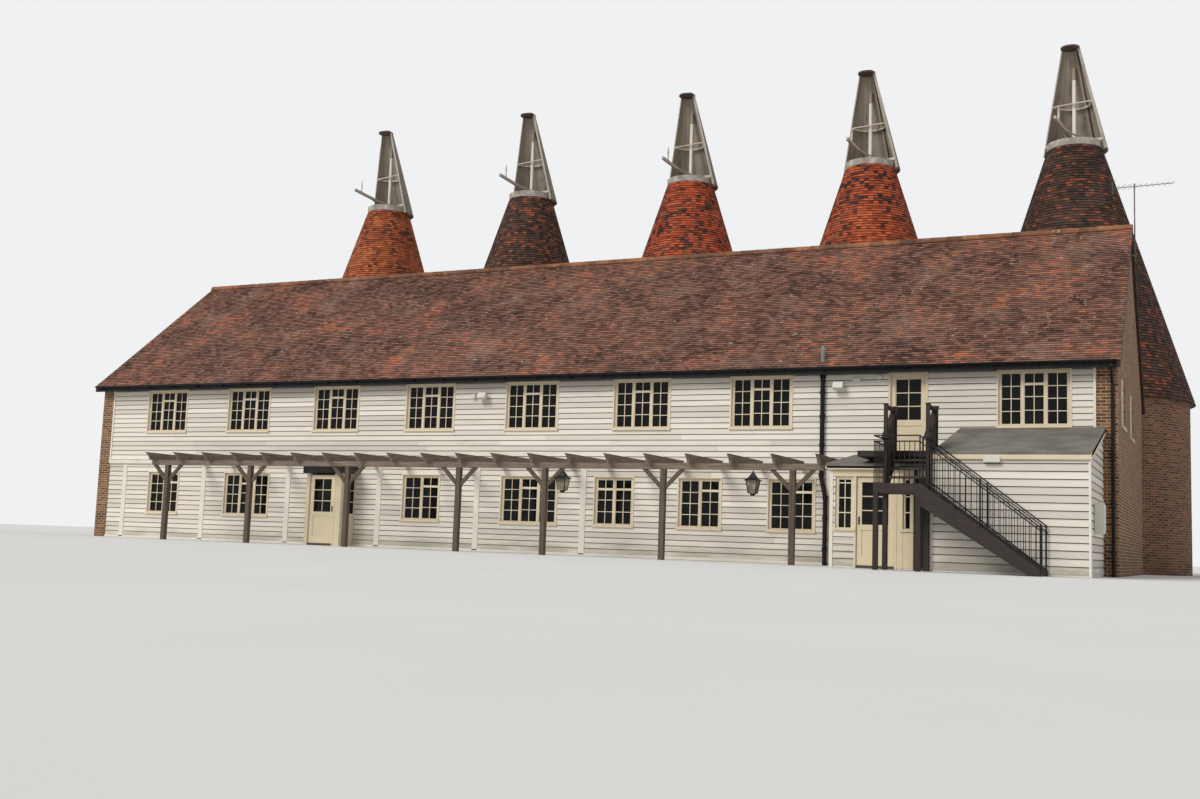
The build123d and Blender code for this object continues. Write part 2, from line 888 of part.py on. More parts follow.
def make_pergola():
    beam_y = front - pergola_reach
    half = pergola_post_width / 2
    ends = (along(pergola_ends[1]), along(pergola_ends[0]))
    beam_base = pergola_beam_height
    with BuildPart() as pergola_post_set:
        for place in pergola_posts:
            x = along(place)
            block((x - half, x + half), (beam_y - half, beam_y + half), (0, beam_base))
            for turn in (-1, 1):
                elevation(
                    [
                        (x, beam_base - brace_reach - pergola_post_width),
                        (x, beam_base - brace_reach),
                        (x + turn * brace_reach, beam_base),
                        (x + turn * (brace_reach + pergola_post_width), beam_base),
                    ],
                    beam_y - half / 2,
                    half,
                )
    save(pergola_post_set.part, "pergola_posts")
    with BuildPart() as pergola_beams:
        top = beam_base + pergola_beam_depth
        block(ends, (beam_y - pergola_beam_width / 2, beam_y + pergola_beam_width / 2), (beam_base, top))
    save(pergola_beams.part, "pergola_beam")
    tail = beam_y - rafter_tail
    top = beam_base + pergola_beam_depth + rafter_depth
    base = top - rafter_depth
    with BuildPart() as pergola_rafters:
        for x in spaced(ends[0] + rafter_width, ends[1] - rafter_width, rafter_pitch):
            with BuildSketch(Plane.YZ.offset(x - rafter_width / 2)):
                with BuildLine():
                    Polyline(
                        (tail + rafter_depth, base), (front, base), (front, top), (tail, top)
                    )
                    RadiusArc((tail, top), (tail + rafter_depth, base), rafter_depth * 1.4)
                make_face()
            extrude(amount=rafter_width)
    save(pergola_rafters.part, "pergola_rafters")


def make_rainwater_goods():
    with BuildPart() as gutters:
        for side in (-1, 1):
            fascia = side * roof_reach
            middle = fascia + side * gutter_radius
            with BuildSketch(Plane.YZ.offset(-right)):
                with Locations((middle, eaves_height - gutter_wall)):
                    Circle(gutter_radius)
                    Circle(gutter_radius - gutter_wall, mode=Mode.SUBTRACT)
                with Locations((middle, eaves_height - gutter_wall + gutter_radius)):
                    Rectangle(4 * gutter_radius, 2 * gutter_radius, mode=Mode.SUBTRACT)
                with Locations((fascia + side * gutter_wall, eaves_height - gutter_radius)):
                    Rectangle(2 * gutter_wall, gutter_radius)
            extrude(amount=2 * right)
        with Locations((along(soil_pipe_place), soil_pipe_y, eaves_height)):
            Cylinder(soil_pipe_radius, 4 * roof_drop, mode=Mode.SUBTRACT)
        with Locations(*[(x, kiln_y, eaves_height) for x in kiln_places]):
            Cylinder(kiln_radius + gutter_wall, 4 * gutter_radius, mode=Mode.SUBTRACT)
    save(gutters.part, "gutters")
    with BuildPart() as soil_pipe:
        x = along(soil_pipe_place)
        with BuildLine():
            FilletPolyline(
                (x, soil_pipe_y, soil_pipe_top),
                (x, soil_pipe_y, lower_wall_height - 300.0),
                (x + soil_pipe_offset, soil_pipe_y, lower_wall_height - 800.0),
                (x + soil_pipe_offset, soil_pipe_y, 0),
                radius=200.0,
            )
        with BuildSketch(Plane((x, soil_pipe_y, soil_pipe_top), z_dir=(0, 0, -1))):
            Circle(soil_pipe_radius)
        sweep()
        for height in pipe_brackets:
            low = height < lower_wall_height
            middle = x + (soil_pipe_offset if height < lower_wall_height - 800.0 else 0)
            rear = front + (lower_wall_setback if low else 0)
            block(
                (middle - soil_pipe_radius, middle + soil_pipe_radius),
                (soil_pipe_y, rear),
                (height, height + pipe_bracket),
            )
    save(soil_pipe.part, "soil_pipe")


def make_kilns():
    wall_inner = kiln_radius - brick_wall
    with BuildPart() as kiln_walls:
        for x in kiln_places:
            with BuildSketch():
                with Locations((x, kiln_y)):
                    Circle(kiln_radius)
                    Circle(wall_inner, mode=Mode.SUBTRACT)
                    with PolarLocations(0, kiln_segments, start_angle=90 + 180 / kiln_segments):
                        with Locations((kiln_radius / 2, 0)):
                            Rectangle(1.2 * kiln_radius, segment_joint, mode=Mode.SUBTRACT)
                with Locations((x, back - kiln_radius)):
                    Rectangle(2 * kiln_radius, 2 * kiln_radius, mode=Mode.SUBTRACT)
            extrude(amount=kiln_wall_height)
    save(kiln_walls.part, "kiln_walls")
    for number, x in enumerate(kiln_places, 1):
        save(kiln_cone(x, number), f"kiln_roof_{number}")


def kiln_cone(x, number):
    """One tiled cone, hollow, cut away where it meets the store's roof and its
    neighbours, in segments with a thin joint between them."""
    base = kiln_wall_height
    with BuildPart() as cone:
        with BuildSketch(Plane.XZ.offset(-kiln_y)):
            with BuildLine():
                Polyline(
                    (x + cone_eaves_radius, base),
                    (x + cone_top_radius, cone_top_height),
                    (x + cone_top_radius - cone_thickness / 2, cone_top_height),
                    (x + cone_eaves_radius - cone_thickness, base),
                    close=True,
                )
            make_face()
        revolve(axis=Axis((x, kiln_y, 0), (0, 0, 1)))
        cross_section(
            [(0, 0), (0, ridge_height), (roof_reach, eaves_height), (roof_reach, 0)],
            x - kiln_pitch,
            2 * kiln_pitch,
            mode=Mode.SUBTRACT,
        )
        edge = (kiln_pitch - valley_gap) / 2
        for turn, alone in ((-1, number == 1), (1, number == kiln_count)):
            if not alone:
                block(
                    (x + turn * edge, x + turn * kiln_pitch),
                    (0, 2 * kiln_y),
                    (0, cone_top_height),
                    mode=Mode.SUBTRACT,
                )
        with Locations((x, kiln_y, (base + cone_top_height) / 2)):
            with PolarLocations(0, cone_segments, start_angle=180 / cone_segments):
                with Locations((cone_eaves_radius / 2, 0)):
                    Box(
                        1.2 * cone_eaves_radius,
                        segment_joint,
                        2 * cone_top_height,
                        mode=Mode.SUBTRACT,
                    )
    return cone.part


def make_cowl_bearings():
    """The curb on each cone with the collar beam across it, and the footstep beam below."""
    curb_radius = cone_top_radius + curb_thickness / 4
    curb_inner = curb_radius - curb_thickness
    with BuildPart() as cowl_curbs:
        for x in kiln_places:
            with BuildSketch(Plane.XY.offset(cone_top_height)):
                with Locations((x, kiln_y)):
                    Circle(curb_radius)
                    Circle(curb_inner, mode=Mode.SUBTRACT)
                    Rectangle(2 * curb_inner + curb_thickness, bearing_beam)
                    Circle(cowl_post_radius + collar_gap, mode=Mode.SUBTRACT)
            extrude(amount=bearing_beam)
            with BuildSketch(Plane.XY.offset(cone_top_height + bearing_beam)):
                with Locations((x, kiln_y)):
                    Circle(curb_radius)
                    Circle(curb_inner, mode=Mode.SUBTRACT)
            extrude(amount=curb_height - bearing_beam)
    save(cowl_curbs.part, "cowl_curbs")
    with BuildPart() as footstep_beam:
        with Locations((0, 0, footstep_height - bearing_beam / 2)):
            Box(2 * cone_eaves_radius, bearing_beam, bearing_beam)
        with Locations((0, 0, (kiln_wall_height + cone_top_height) / 2)):
            Cone(
                cone_eaves_radius - cone_thickness,
                cone_top_radius - cone_thickness / 2,
                cone_top_height - kiln_wall_height,
                mode=Mode.INTERSECT,
            )
    beams = [footstep_beam.part.moved(Location((x, kiln_y, 0))) for x in kiln_places]
    save(Compound(children=beams), "footstep_beams")


def cowl_mouth_x(height):
    """X of the leaning plane of a cowl's mouth, at a height above its skirt."""
    return cowl_mouth + cowl_lean * height / (cowl_height - cowl_cap_thickness)


def make_cowls():
    """The five cowls share one shape, drawn with the mouth towards +X: boarded flat sides
    that taper and lean forward to a cap, a shelf and a rail across the inside, a post up
    to the boards at the back, and the vane's arm with its finial."""
    height = cowl_height - cowl_cap_thickness
    top = cowl_skirt_height + height
    flat = cos(radians(180 / cowl_sides))
    narrowing = (cowl_base_radius - cowl_top_radius) / height
    lean = cowl_lean / height
    shelf = cowl_skirt_height + cowl_shelf_height
    with BuildPart() as cowl:
        for inset, mode in ((0, Mode.ADD), (cowl_shell / flat, Mode.SUBTRACT)):
            with BuildSketch(Plane.XY.offset(cowl_skirt_height)):
                RegularPolygon(cowl_base_radius - inset, cowl_sides)
            with BuildSketch(Plane.XY.offset(top)):
                with Locations((cowl_lean, 0)):
                    RegularPolygon(cowl_top_radius - inset, cowl_sides)
            loft(ruled=True, mode=mode)
        far = 2 * cowl_base_radius
        elevation(
            [
                (cowl_mouth_x(-cowl_height), cowl_skirt_height - cowl_height),
                (cowl_mouth_x(2 * cowl_height), cowl_skirt_height + 2 * cowl_height),
                (far, cowl_skirt_height + 2 * cowl_height),
                (far, cowl_skirt_height - cowl_height),
            ],
            -far,
            2 * far,
            mode=Mode.SUBTRACT,
        )
        with BuildSketch(Plane.XY.offset(top)):
            with Locations((cowl_lean, 0)):
                RegularPolygon(cowl_cap_radius, cowl_sides)
        extrude(amount=cowl_cap_thickness)
        with BuildSketch(Plane.XY.offset(shelf)):
            with Locations((lean * cowl_shelf_height, 0)):
                shelf_inset = narrowing * cowl_shelf_height + cowl_shell / 2
                RegularPolygon(cowl_base_radius - shelf_inset, cowl_sides)
            with Locations((cowl_mouth_x(cowl_shelf_height) + cowl_base_radius, 0)):
                Rectangle(2 * cowl_base_radius, 2 * cowl_base_radius, mode=Mode.SUBTRACT)
        extrude(amount=cowl_shelf_thickness)
        rail = cowl_rail_height
        reach = (cowl_base_radius - narrowing * (rail - cowl_skirt_height)) * flat - cowl_shell / 2
        half = arm_section / 2
        block((-half, half), (-reach, reach), (rail, rail + arm_section))
        foot = footstep_height + bearing_gap
        post_reach = cowl_base_radius - cowl_shell / 2 - cowl_post_radius
        post_top = cowl_skirt_height + post_reach / (narrowing + lean)
        with Locations((0, 0, (foot + post_top) / 2)):
            Cylinder(cowl_post_radius, post_top - foot)
        elevation(
            [
                (0, arm_root_height),
                (arm_length, arm_root_height + arm_rise),
                (arm_length, arm_root_height + arm_rise + arm_section),
                (0, arm_root_height + arm_section),
            ],
            -arm_section / 4,
            half,
        )
        finial = arm_length - 4 * arm_section
        finial_base = arm_root_height + half + arm_rise * finial / arm_length
        block((finial, finial + half), (-half / 4, half / 4), (finial_base, finial_base + finial_height))
    for number, (x, facing) in enumerate(zip(kiln_places, cowl_facings), 1):
        save(cowl.part.moved(Location((x, kiln_y, 0), (0, 0, facing))), f"cowl_{number}")


make_floors()
make_front_wall()
make_rear_wall()
make_gable_walls()
make_roof()
make_windows()
make_hinged_doors()
make_thresholds()
make_upper_door()
make_porch_walls()
make_porch_roofs()
make_leanto()
make_stair()
make_stair_guards()
make_stair_railings()
make_pergola()
make_rainwater_goods()
make_kilns()
make_cowl_bearings()
make_cowls()
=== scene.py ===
"""The looks of an oast house: tiles, boards, bricks, window bars and cowls dressed on its
frame, with a pale floor, soft light and a low camera at the front right."""

import math
import random

import bpy
from mathutils import Matrix, Vector


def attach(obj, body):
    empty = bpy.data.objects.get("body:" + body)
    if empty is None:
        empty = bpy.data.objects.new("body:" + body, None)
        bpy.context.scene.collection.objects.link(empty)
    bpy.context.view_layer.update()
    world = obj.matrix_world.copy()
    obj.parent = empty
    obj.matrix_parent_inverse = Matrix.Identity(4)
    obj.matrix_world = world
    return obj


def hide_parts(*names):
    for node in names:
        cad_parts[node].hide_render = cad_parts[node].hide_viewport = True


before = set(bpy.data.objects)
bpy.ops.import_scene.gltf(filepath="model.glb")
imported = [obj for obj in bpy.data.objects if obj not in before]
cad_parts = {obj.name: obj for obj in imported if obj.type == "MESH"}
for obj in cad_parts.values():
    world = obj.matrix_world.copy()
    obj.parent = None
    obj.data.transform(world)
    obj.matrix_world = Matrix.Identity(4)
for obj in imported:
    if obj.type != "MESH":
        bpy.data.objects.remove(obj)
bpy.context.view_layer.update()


def along(distance):
    """X of a place given by its distance from the right-hand corner."""
    return RIGHT - distance


def between(far, near):
    """X ends of a stretch of the front, by its distances from the right-hand corner."""
    return (along(far), along(near))


def around(middle, half):
    """Two ends, each as far from the middle."""
    return (middle - half, middle + half)


def proud(face, out, into=0.0):
    """Y ends of a piece that stands out of a face that looks to the front."""
    return (face - out, face + into)


def standing(x, y, turn=0.0):
    """Turns about the upright axis, then moves to a place on the ground."""
    return Matrix.Translation((x, y, 0)) @ Matrix.Rotation(turn, 4, "Z")


# Sizes in metres, on the frame's own axes
RIGHT = 15.5
FRONT = -4.79
BACK = 4.79
ROOF_REACH = 5.105
EAVES = 4.85
RIDGE = 9.08
ROOF_END = RIGHT + 0.08
ROOF_LEAN = math.atan2(RIDGE - EAVES, ROOF_REACH)
ROOF_RUN = math.hypot(RIDGE - EAVES, ROOF_REACH)
PIER = 0.46
LOWER_FACE = FRONT + 0.03
UPPER_BASE = 2.44
TILE_WIDTH = 0.165
TILE_GAUGE = 0.1
TILE_THICK = 0.02
BOARD = 0.147
LEANTO_BOARD = 0.16
KILN_Y = 7.84
KILN_PITCH = 6.75
KILN_SHIFT = -0.1
KILN_RADIUS = 3.34
KILN_X = [KILN_SHIFT + (n - 2) * KILN_PITCH for n in range(5)]
CONE_BASE = 5.25
CONE_TOP = 13.65
CONE_EAVES = 3.48
CONE_TAPER = 0.314
COWL_SKIRT = 13.62
COWL_TOP = 17.03
COWL_BASE_RADIUS = 1.03
COWL_TOP_RADIUS = 0.285
COWL_WALL = 0.035
COWL_MOUTH = -0.04
COWL_LEAN = 0.38
COWL_FACINGS = (-104, -103, -102, -101, -103)
COWL_BOARDS = 44
POST_TOP = 16.47
PORCH_FRONT = FRONT - 2.4
PORCH_LEFT = along(5.9)
LEANTO_FRONT = FRONT - 3.44
LEANTO_LEFT, LEANTO_RIGHT = between(3.43, 0.33)
LEFT_PORCH_FRONT = FRONT - 0.65
LEFT_PORCH = between(22.02, 20.78)
PERGOLA_Y = FRONT - 2.1
LANDING = 1.79
UPPER_DOOR = (4.705, 0.85)
# Each front window: distance of its middle, width, sill, head, number of lights and its wall's face
UPPER_WINDOWS = [(1.81 + 3.3 * n, 1.59, 3.37, 4.69, 3, FRONT) for n in (0, 2, 3, 4, 5, 6, 7, 8)]
LOWER_WINDOWS = [
    (place, width, 0.8, 2.09, lights, LOWER_FACE)
    for place, width, lights in (
        (7.58, 1.18, 2),
        (10.02, 1.15, 2),
        (12.45, 1.11, 2),
        (15.01, 1.72, 3),
        (18.51, 1.22, 2),
        (24.85, 1.70, 3),
        (28.2, 1.22, 2),
    )
]
TWO_FANLIGHTS = 12.45
WINDOW_FRAME = 0.06
MULLION = 0.07
CASING = 0.035
PILASTERS = [6.62, 13.35, 16.65, 19.95, 23.25, 26.55, 29.85]
PILASTER_HALF = 0.085
# Rows of panes from the foot: the share of the height and the thickness of the bar above
EQUAL = [(0.25, 0.02)] * 4
FANLIGHT = [(0.27, 0.02), (0.27, 0.02), (0.25, 0.06), (0.21, 0.02)]
DOOR_PANES = [(0.333, 0.024)] * 3


# Finishes


def paint(colour):
    """A colour read from 0 to 255, as the shader's own light values."""
    return tuple(((v / 255 + 0.055) / 1.055) ** 2.4 if v > 10 else v / 3294 for v in colour)


def shaded(colour, share):
    return tuple(v * share for v in colour)


class Amount:
    """A number that changes over a surface. Sums written with it become Math nodes."""

    def __init__(self, look, socket):
        self.look = look
        self.socket = socket

    def __add__(self, other):
        return self.look.sum("ADD", self, other)

    def __sub__(self, other):
        return self.look.sum("SUBTRACT", self, other)

    def __mul__(self, other):
        return self.look.sum("MULTIPLY", self, other)

    def __truediv__(self, other):
        return self.look.sum("DIVIDE", self, other)

    def part(self):
        """What is left over a whole number."""
        return self.look.sum("FRACT", self)

    def within(self, low, high):
        """0 on low's side, 1 on high's side, and smooth between them."""
        feeds = {"Value": self, "From Min": low, "From Max": high}
        return self.look.node("ShaderNodeMapRange", {"interpolation_type": "SMOOTHSTEP"}, feeds)


class Look:
    """A finish: its shader, and the nodes that are added to it one by one."""

    def __init__(self, name, roughness, specular):
        self.material = bpy.data.materials.new(name)
        self.material.use_nodes = True
        self.tree = self.material.node_tree
        self.shader = self.tree.nodes["Principled BSDF"].inputs
        self.feed(roughness, self.shader["Roughness"])
        self.feed(specular, self.shader["Specular IOR Level"])
        spot = self.node("ShaderNodeTexCoord", out="Object")
        parts = self.node("ShaderNodeSeparateXYZ", feeds={"Vector": spot})
        self.place = [Amount(self, output) for output in parts.socket.node.outputs]

    def node(self, kind, settings=None, feeds=None, out=0):
        """Adds a node with its settings and inputs, and gives one of its outputs."""
        made = self.tree.nodes.new(kind)
        for key, value in (settings or {}).items():
            setattr(made, key, value)
        for key, value in (feeds or {}).items():
            self.feed(value, made.inputs[key])
        return Amount(self, made.outputs[out])

    def feed(self, value, socket):
        if isinstance(value, Amount):
            self.tree.links.new(value.socket, socket)
        elif isinstance(value, tuple):
            socket.default_value = (*value, 1)
        else:
            socket.default_value = value

    def sum(self, operation, *terms):
        return self.node("ShaderNodeMath", {"operation": operation}, dict(enumerate(terms)))

    def point(self, x, y=0.0, z=0.0):
        return self.node("ShaderNodeCombineXYZ", feeds={"X": x, "Y": y, "Z": z})

    def cloud(self, size, detail=4.0, rough=0.6, at=None):
        """Soft noise from 0 to 1, with blotches of about that size."""
        spot = self.point(*(at or self.place))
        feeds = {"Vector": spot, "Scale": 1 / size, "Detail": detail, "Roughness": rough}
        return self.node("ShaderNodeTexNoise", feeds=feeds)

    def grain(self, along_axis, size, length):
        """Streaks of wood grain that run along one axis."""
        spans = [length if axis == along_axis else size for axis in "XYZ"]
        return self.cloud(1.0, 6.0, 0.65, [place / span for place, span in zip(self.place, spans)])

    def mark(self, name):
        """A value that is written on the faces of the piece itself."""
        return self.node("ShaderNodeAttribute", {"attribute_name": name}, out="Fac")

    def ramp(self, amount, stops):
        """A scale of colours, each at its own place from 0 to 1."""
        made = self.node("ShaderNodeValToRGB", feeds={"Fac": amount})
        elements = made.socket.node.color_ramp.elements
        first, *middle, last = [(place, (*paint(colour), 1)) for place, colour in stops]
        elements[0].position, elements[0].color = first
        elements[1].position, elements[1].color = last
        for place, colour in middle:
            elements.new(place).color = colour
        return made

    def mix(self, amount, first, second):
        """The second colour laid over the first, as far as the amount says."""
        first, second = [paint(c) if isinstance(c, tuple) else c for c in (first, second)]
        return self.node("ShaderNodeMix", {"data_type": "RGBA"}, {0: amount, 6: first, 7: second}, 2)

    def finish(self, colour, height=None, depth=0.002, roughness=None):
        """Puts the colour and relief on the shader and hands over the material."""
        self.feed(colour, self.shader["Base Color"])
        if height:
            relief = self.node("ShaderNodeBump", feeds={"Height": height, "Distance": depth})
            self.feed(relief, self.shader["Normal"])
        if roughness:
            self.feed(roughness, self.shader["Roughness"])
        return self.material


def old_tiles(name, tones, lichen, growth, courses, blotch):
    """Clay tiles: each has its own tone, with broad patches, lichen specks, dark stains, and painted shade in
    a band just under the tails of the course above.
    courses gives the height of the lowest course and the rise from one to the next."""
    look = Look(name, 0.85, 0.25)
    x, y, z = look.place
    patches = look.cloud(1.6, 5.0, 0.62)
    clay = look.ramp(look.mark("tone") * (1 - blotch) + patches.within(0.3, 0.7) * blotch, tones)
    burnt = look.cloud(0.4, 4.0, 0.7, (x, y, z * 3)).within(0.46, 0.7)
    clay = look.mix(burnt * 0.45, clay, (48, 32, 26))
    bloom = look.cloud(1.5, 6.0, 0.75, (x + 7, y, z * 0.7)).within(0.48, 0.75)
    clay = look.mix(bloom * (growth * 0.5), clay, (170, 142, 124))
    streak = look.cloud(0.5, 6.0, 0.75, (x * 3.2, y, z * 0.8))
    fleck = look.cloud(0.14, 3.0, 0.6, (x, y, z * 2))
    cover = streak.within(0.48, 0.66) * fleck.within(0.57, 0.64) * growth
    clay = look.mix(cover, clay, lichen)
    damp = look.cloud(0.9, at=(x + 20, y, z)).within(0.6, 0.8)
    clay = look.mix(damp * 0.4, clay, (60, 58, 38))
    # Painted shadow: a dark band up each course, just under the tails of the course above, where their shadow
    # falls
    course = ((z - courses[0]) / courses[1]).part()
    clay = look.mix(course.within(0.62, 0.84) * 0.6, clay, (34, 24, 20))
    speck = look.cloud(0.05, 3.0, 0.7)
    return look.finish(clay, speck + burnt * 0.5, 0.006)


def bricks(name, tones, mortar, round_kilns=False):
    """Brickwork in stretcher courses of 225 by 75 mm, mortar and all."""
    look = Look(name, 0.9, 0.2)
    x, y, z = look.place
    if round_kilns:
        number = look.sum("ROUND", (x - KILN_SHIFT) / KILN_PITCH)
        away = x - KILN_SHIFT - number * KILN_PITCH
        across = look.sum("ARCTAN2", y - KILN_Y, away) * KILN_RADIUS
    else:
        across = x + y
    feeds = {
        "Vector": look.point(across, z),
        "Color1": (0.0, 0.0, 0.0),
        "Color2": (1.0, 1.0, 1.0),
        "Mortar": (0.5, 0.5, 0.5),
        "Scale": 1.0,
        "Mortar Size": 0.01,
        "Mortar Smooth": 0.15,
        "Brick Width": 0.225,
        "Row Height": 0.075,
    }
    brick = look.node("ShaderNodeTexBrick", feeds=feeds)
    joint = Amount(look, brick.socket.node.outputs["Fac"])
    blotch = look.cloud(0.9, 5.0)
    fine = look.cloud(0.03, 3.0, 0.7)
    clay = look.ramp(brick * 0.62 + blotch * 0.28 + fine * 0.1, tones)
    lime = look.mix(fine.within(0.3, 0.7), mortar, shaded(mortar, 0.8))
    wall = look.mix(joint, clay, lime)
    wet = z.within(1.2, 0.0) * blotch.within(0.35, 0.65)
    wall = look.mix(wet * 0.4, wall, (52, 50, 38))
    return look.finish(wall, fine * 0.25 - joint, 0.006)


def white_boards(name, base, exposure):
    """Painted weatherboards, with painted shade under each lap and grime gathered down the wall."""
    look = Look(name, 0.55, 0.35)
    x, y, z = look.place
    white = (224, 216, 203)
    tones = [(0.0, shaded(white, 0.92)), (0.5, white), (1.0, (235, 228, 216))]
    coat = look.ramp(look.mark("tone"), tones)
    weather = look.cloud(0.7, 6.0, 0.65, (x * 0.5, y, z * 2.2))
    coat = look.mix(weather.within(0.5, 0.75) * 0.45, coat, (196, 188, 172))
    lap = ((z - base) / exposure).part()
    # Painted shadow: a soft dark band and a hard dark line just under each board's lap
    coat = look.mix(lap.within(0.68, 1.0) * 0.6, coat, (134, 122, 106))
    coat = look.mix(lap.within(0.86, 0.9) * (weather * 0.7 + 0.55), coat, (52, 43, 34))
    foot = z.within(0.5, 0.0) * weather.within(0.3, 0.6)
    coat = look.mix(foot * 0.6, coat, (132, 128, 108))
    flaked = look.cloud(0.06, 4.0, 0.7, (x * 0.6, y, z * 4)).within(0.7, 0.76)
    coat = look.mix(flaked * 0.35, coat, (140, 126, 108))
    return look.finish(coat, look.grain("X", 0.012, 0.5) * 0.5 + weather, 0.0015)


def painted(name, colour, worn, roughness):
    """Gloss paint on joinery, a little uneven and worn."""
    look = Look(name, roughness, 0.4)
    x, y, z = look.place
    broad = look.cloud(0.4)
    brush = look.cloud(0.1, at=(x * 6, y * 6, z * 0.8))
    coat = look.mix(broad.within(0.4, 0.75) * 0.3, colour, worn)
    coat = look.mix(brush.within(0.62, 0.8) * 0.3, coat, shaded(colour, 0.82))
    return look.finish(coat, brush * 0.6 + broad * 0.4, 0.0008, broad * 0.3 + (roughness - 0.15))


def stained(name, colour, pale, axis="X", board=None):
    """Stained or weathered timber with grain along one axis. With a board's width given,
    joints between such boards show across Y."""
    look = Look(name, 0.7, 0.3)
    height = grain = look.grain(axis, 0.012, 0.5)
    wood = look.mix(grain.within(0.35, 0.7), colour, pale)
    wood = look.mix(look.cloud(0.35).within(0.5, 0.8) * 0.4, wood, shaded(colour, 0.6))
    if board:
        joint = (look.place[1] / board).part().within(0.06, 0.0)
        wood = look.mix(joint * 0.85, wood, shaded(colour, 0.3))
        height = grain * 0.3 - joint
    return look.finish(wood, height, 0.002)


def cowl_timber(name, colour, pale, outside=None):
    """Weathered boards of a cowl, each with a tone of its own. Given a second pair of colours, the outside
    faces take them, so inside and outside can carry painted light and painted shade on one timber.
    """
    look = Look(name, 0.75, 0.25)
    x, y, z = look.place
    grain = look.grain("Z", 0.016, 0.8)
    shade = look.mark("tone") * 0.55 + grain * 0.6
    wood = look.ramp(shade, [(0.15, colour), (0.9, pale)])
    # The outside faces can take darker colours, painted shade against the painted light inside
    if outside:
        outer = look.ramp(shade, [(0.15, outside[0]), (0.9, outside[1])])
        wood = look.mix(look.mark("outside"), wood, outer)
    stain = look.cloud(0.6, 5.0, 0.6, (x * 3, y * 3, z * 0.7)).within(0.5, 0.75)
    wood = look.mix(stain * 0.45, wood, shaded(colour, 0.55))
    return look.finish(wood, grain, 0.003)


def dark_glass(name, colour, roughness):
    """Glass laid on as one colour with a faint unevenness; a dark colour is painted shade for the unlit room
    behind.
    """
    look = Look(name, roughness, 0.2)
    wave = look.cloud(0.35, 2.0, 0.5)
    room = look.mix(wave.within(0.35, 0.75), colour, shaded(colour, 1.9))
    return look.finish(room, wave, 0.0006)


def felt(name, colour):
    """Mineral felt in rolled strips, with seams across the roof and grit all over."""
    look = Look(name, 0.92, 0.15)
    grit = look.cloud(0.012, 2.0)
    broad = look.cloud(0.8, 5.0)
    seam = ((look.place[0] + 0.35) / 0.92).part().within(0.02, 0.0)
    coat = look.mix(broad.within(0.35, 0.7), colour, shaded(colour, 0.78))
    coat = look.mix(seam * 0.5, coat, shaded(colour, 0.55))
    return look.finish(coat, grit * 0.3 + seam + broad * 0.4, 0.003)


def iron(name, colour, roughness=0.42):
    """Painted iron or lead, slightly lumpy and dusty."""
    look = Look(name, roughness, 0.25)
    dust = look.cloud(0.25, 4.0, 0.65)
    coat = look.mix(dust.within(0.45, 0.75), colour, tuple(v * 1.3 + 7 for v in colour))
    return look.finish(coat, look.cloud(0.02, 2.0, 0.5), 0.0008, dust * 0.35 + (roughness - 0.12))


def concrete(name, colour):
    look = Look(name, 0.9, 0.5)
    coat = look.mix(look.cloud(1.2, 5.0), colour, shaded(colour, 0.8))
    return look.finish(coat, look.cloud(0.02, 3.0), 0.002)


ROOF_ROWS = 66
ROOF_GAUGE = (ROOF_RUN - 0.02) / ROOF_ROWS
ROOF_COURSES = (EAVES - 0.004, ROOF_GAUGE * math.sin(ROOF_LEAN))
ROOF_TONES = [
    (0.08, (72, 50, 42)),
    (0.3, (106, 74, 62)),
    (0.55, (134, 94, 78)),
    (0.78, (156, 108, 88)),
    (0.93, (196, 112, 78)),
]
roof_tiles = old_tiles("roof_tiles", ROOF_TONES, (190, 176, 160), 0.9, ROOF_COURSES, 0.4)
# The ridge has no courses, so the one step of its painted course shade is higher than the building
RIDGE_COURSES = (0, 50)
RIDGE_TONES = [(0.1, (88, 62, 50)), (0.5, (124, 84, 62)), (0.95, (168, 112, 76))]
ridge_clay = old_tiles("ridge_clay", RIDGE_TONES, (190, 166, 124), 0.9, RIDGE_COURSES, 0.55)
CONE_ROWS = 88
CONE_COURSES = (CONE_BASE + 0.004, (CONE_TOP - CONE_BASE) / CONE_ROWS)
# Each cone's share of broad patches, and its tones
CONES = (
    (0.3, [(0.1, (84, 48, 34)), (0.25, (140, 72, 42)), (0.6, (176, 90, 52)), (0.95, (204, 118, 68))]),
    (0.1, [(0.05, (52, 40, 35)), (0.5, (80, 59, 49)), (0.78, (104, 70, 54)), (0.92, (158, 84, 54))]),
    (0.3, [(0.15, (62, 42, 36)), (0.32, (132, 62, 40)), (0.65, (182, 78, 46)), (0.95, (206, 108, 64))]),
    (0.3, [(0.15, (64, 42, 36)), (0.3, (136, 64, 40)), (0.6, (180, 82, 48)), (0.95, (204, 110, 66))]),
    (0.1, [(0.05, (46, 37, 33)), (0.5, (72, 53, 44)), (0.8, (96, 62, 48)), (0.93, (146, 74, 47))]),
)
cone_tiles = [
    old_tiles(f"kiln_tiles_{n}", tones, (140, 130, 106), 0.3, CONE_COURSES, blotch)
    for n, (blotch, tones) in enumerate(CONES, 1)
]
HOUSE_TONES = [(0.15, (78, 54, 44)), (0.45, (118, 78, 58)), (0.75, (144, 98, 70)), (0.95, (168, 130, 98))]
house_brick = bricks("house_brick", HOUSE_TONES, (190, 172, 138))
KILN_TONES = [(0.15, (74, 50, 42)), (0.45, (114, 72, 55)), (0.75, (138, 88, 65)), (0.95, (162, 118, 90))]
kiln_brick = bricks("kiln_brick", KILN_TONES, (158, 144, 120), round_kilns=True)
front_paint = white_boards("front_paint", 0.06, BOARD)
upper_paint = white_boards("upper_paint", UPPER_BASE + 0.06, BOARD)
leanto_paint = white_boards("leanto_paint", 0.05, LEANTO_BOARD)
plain_white = painted("plain_white", (228, 222, 210), (190, 184, 168), 0.5)
cream = painted("cream", (219, 203, 172), (194, 176, 144), 0.4)
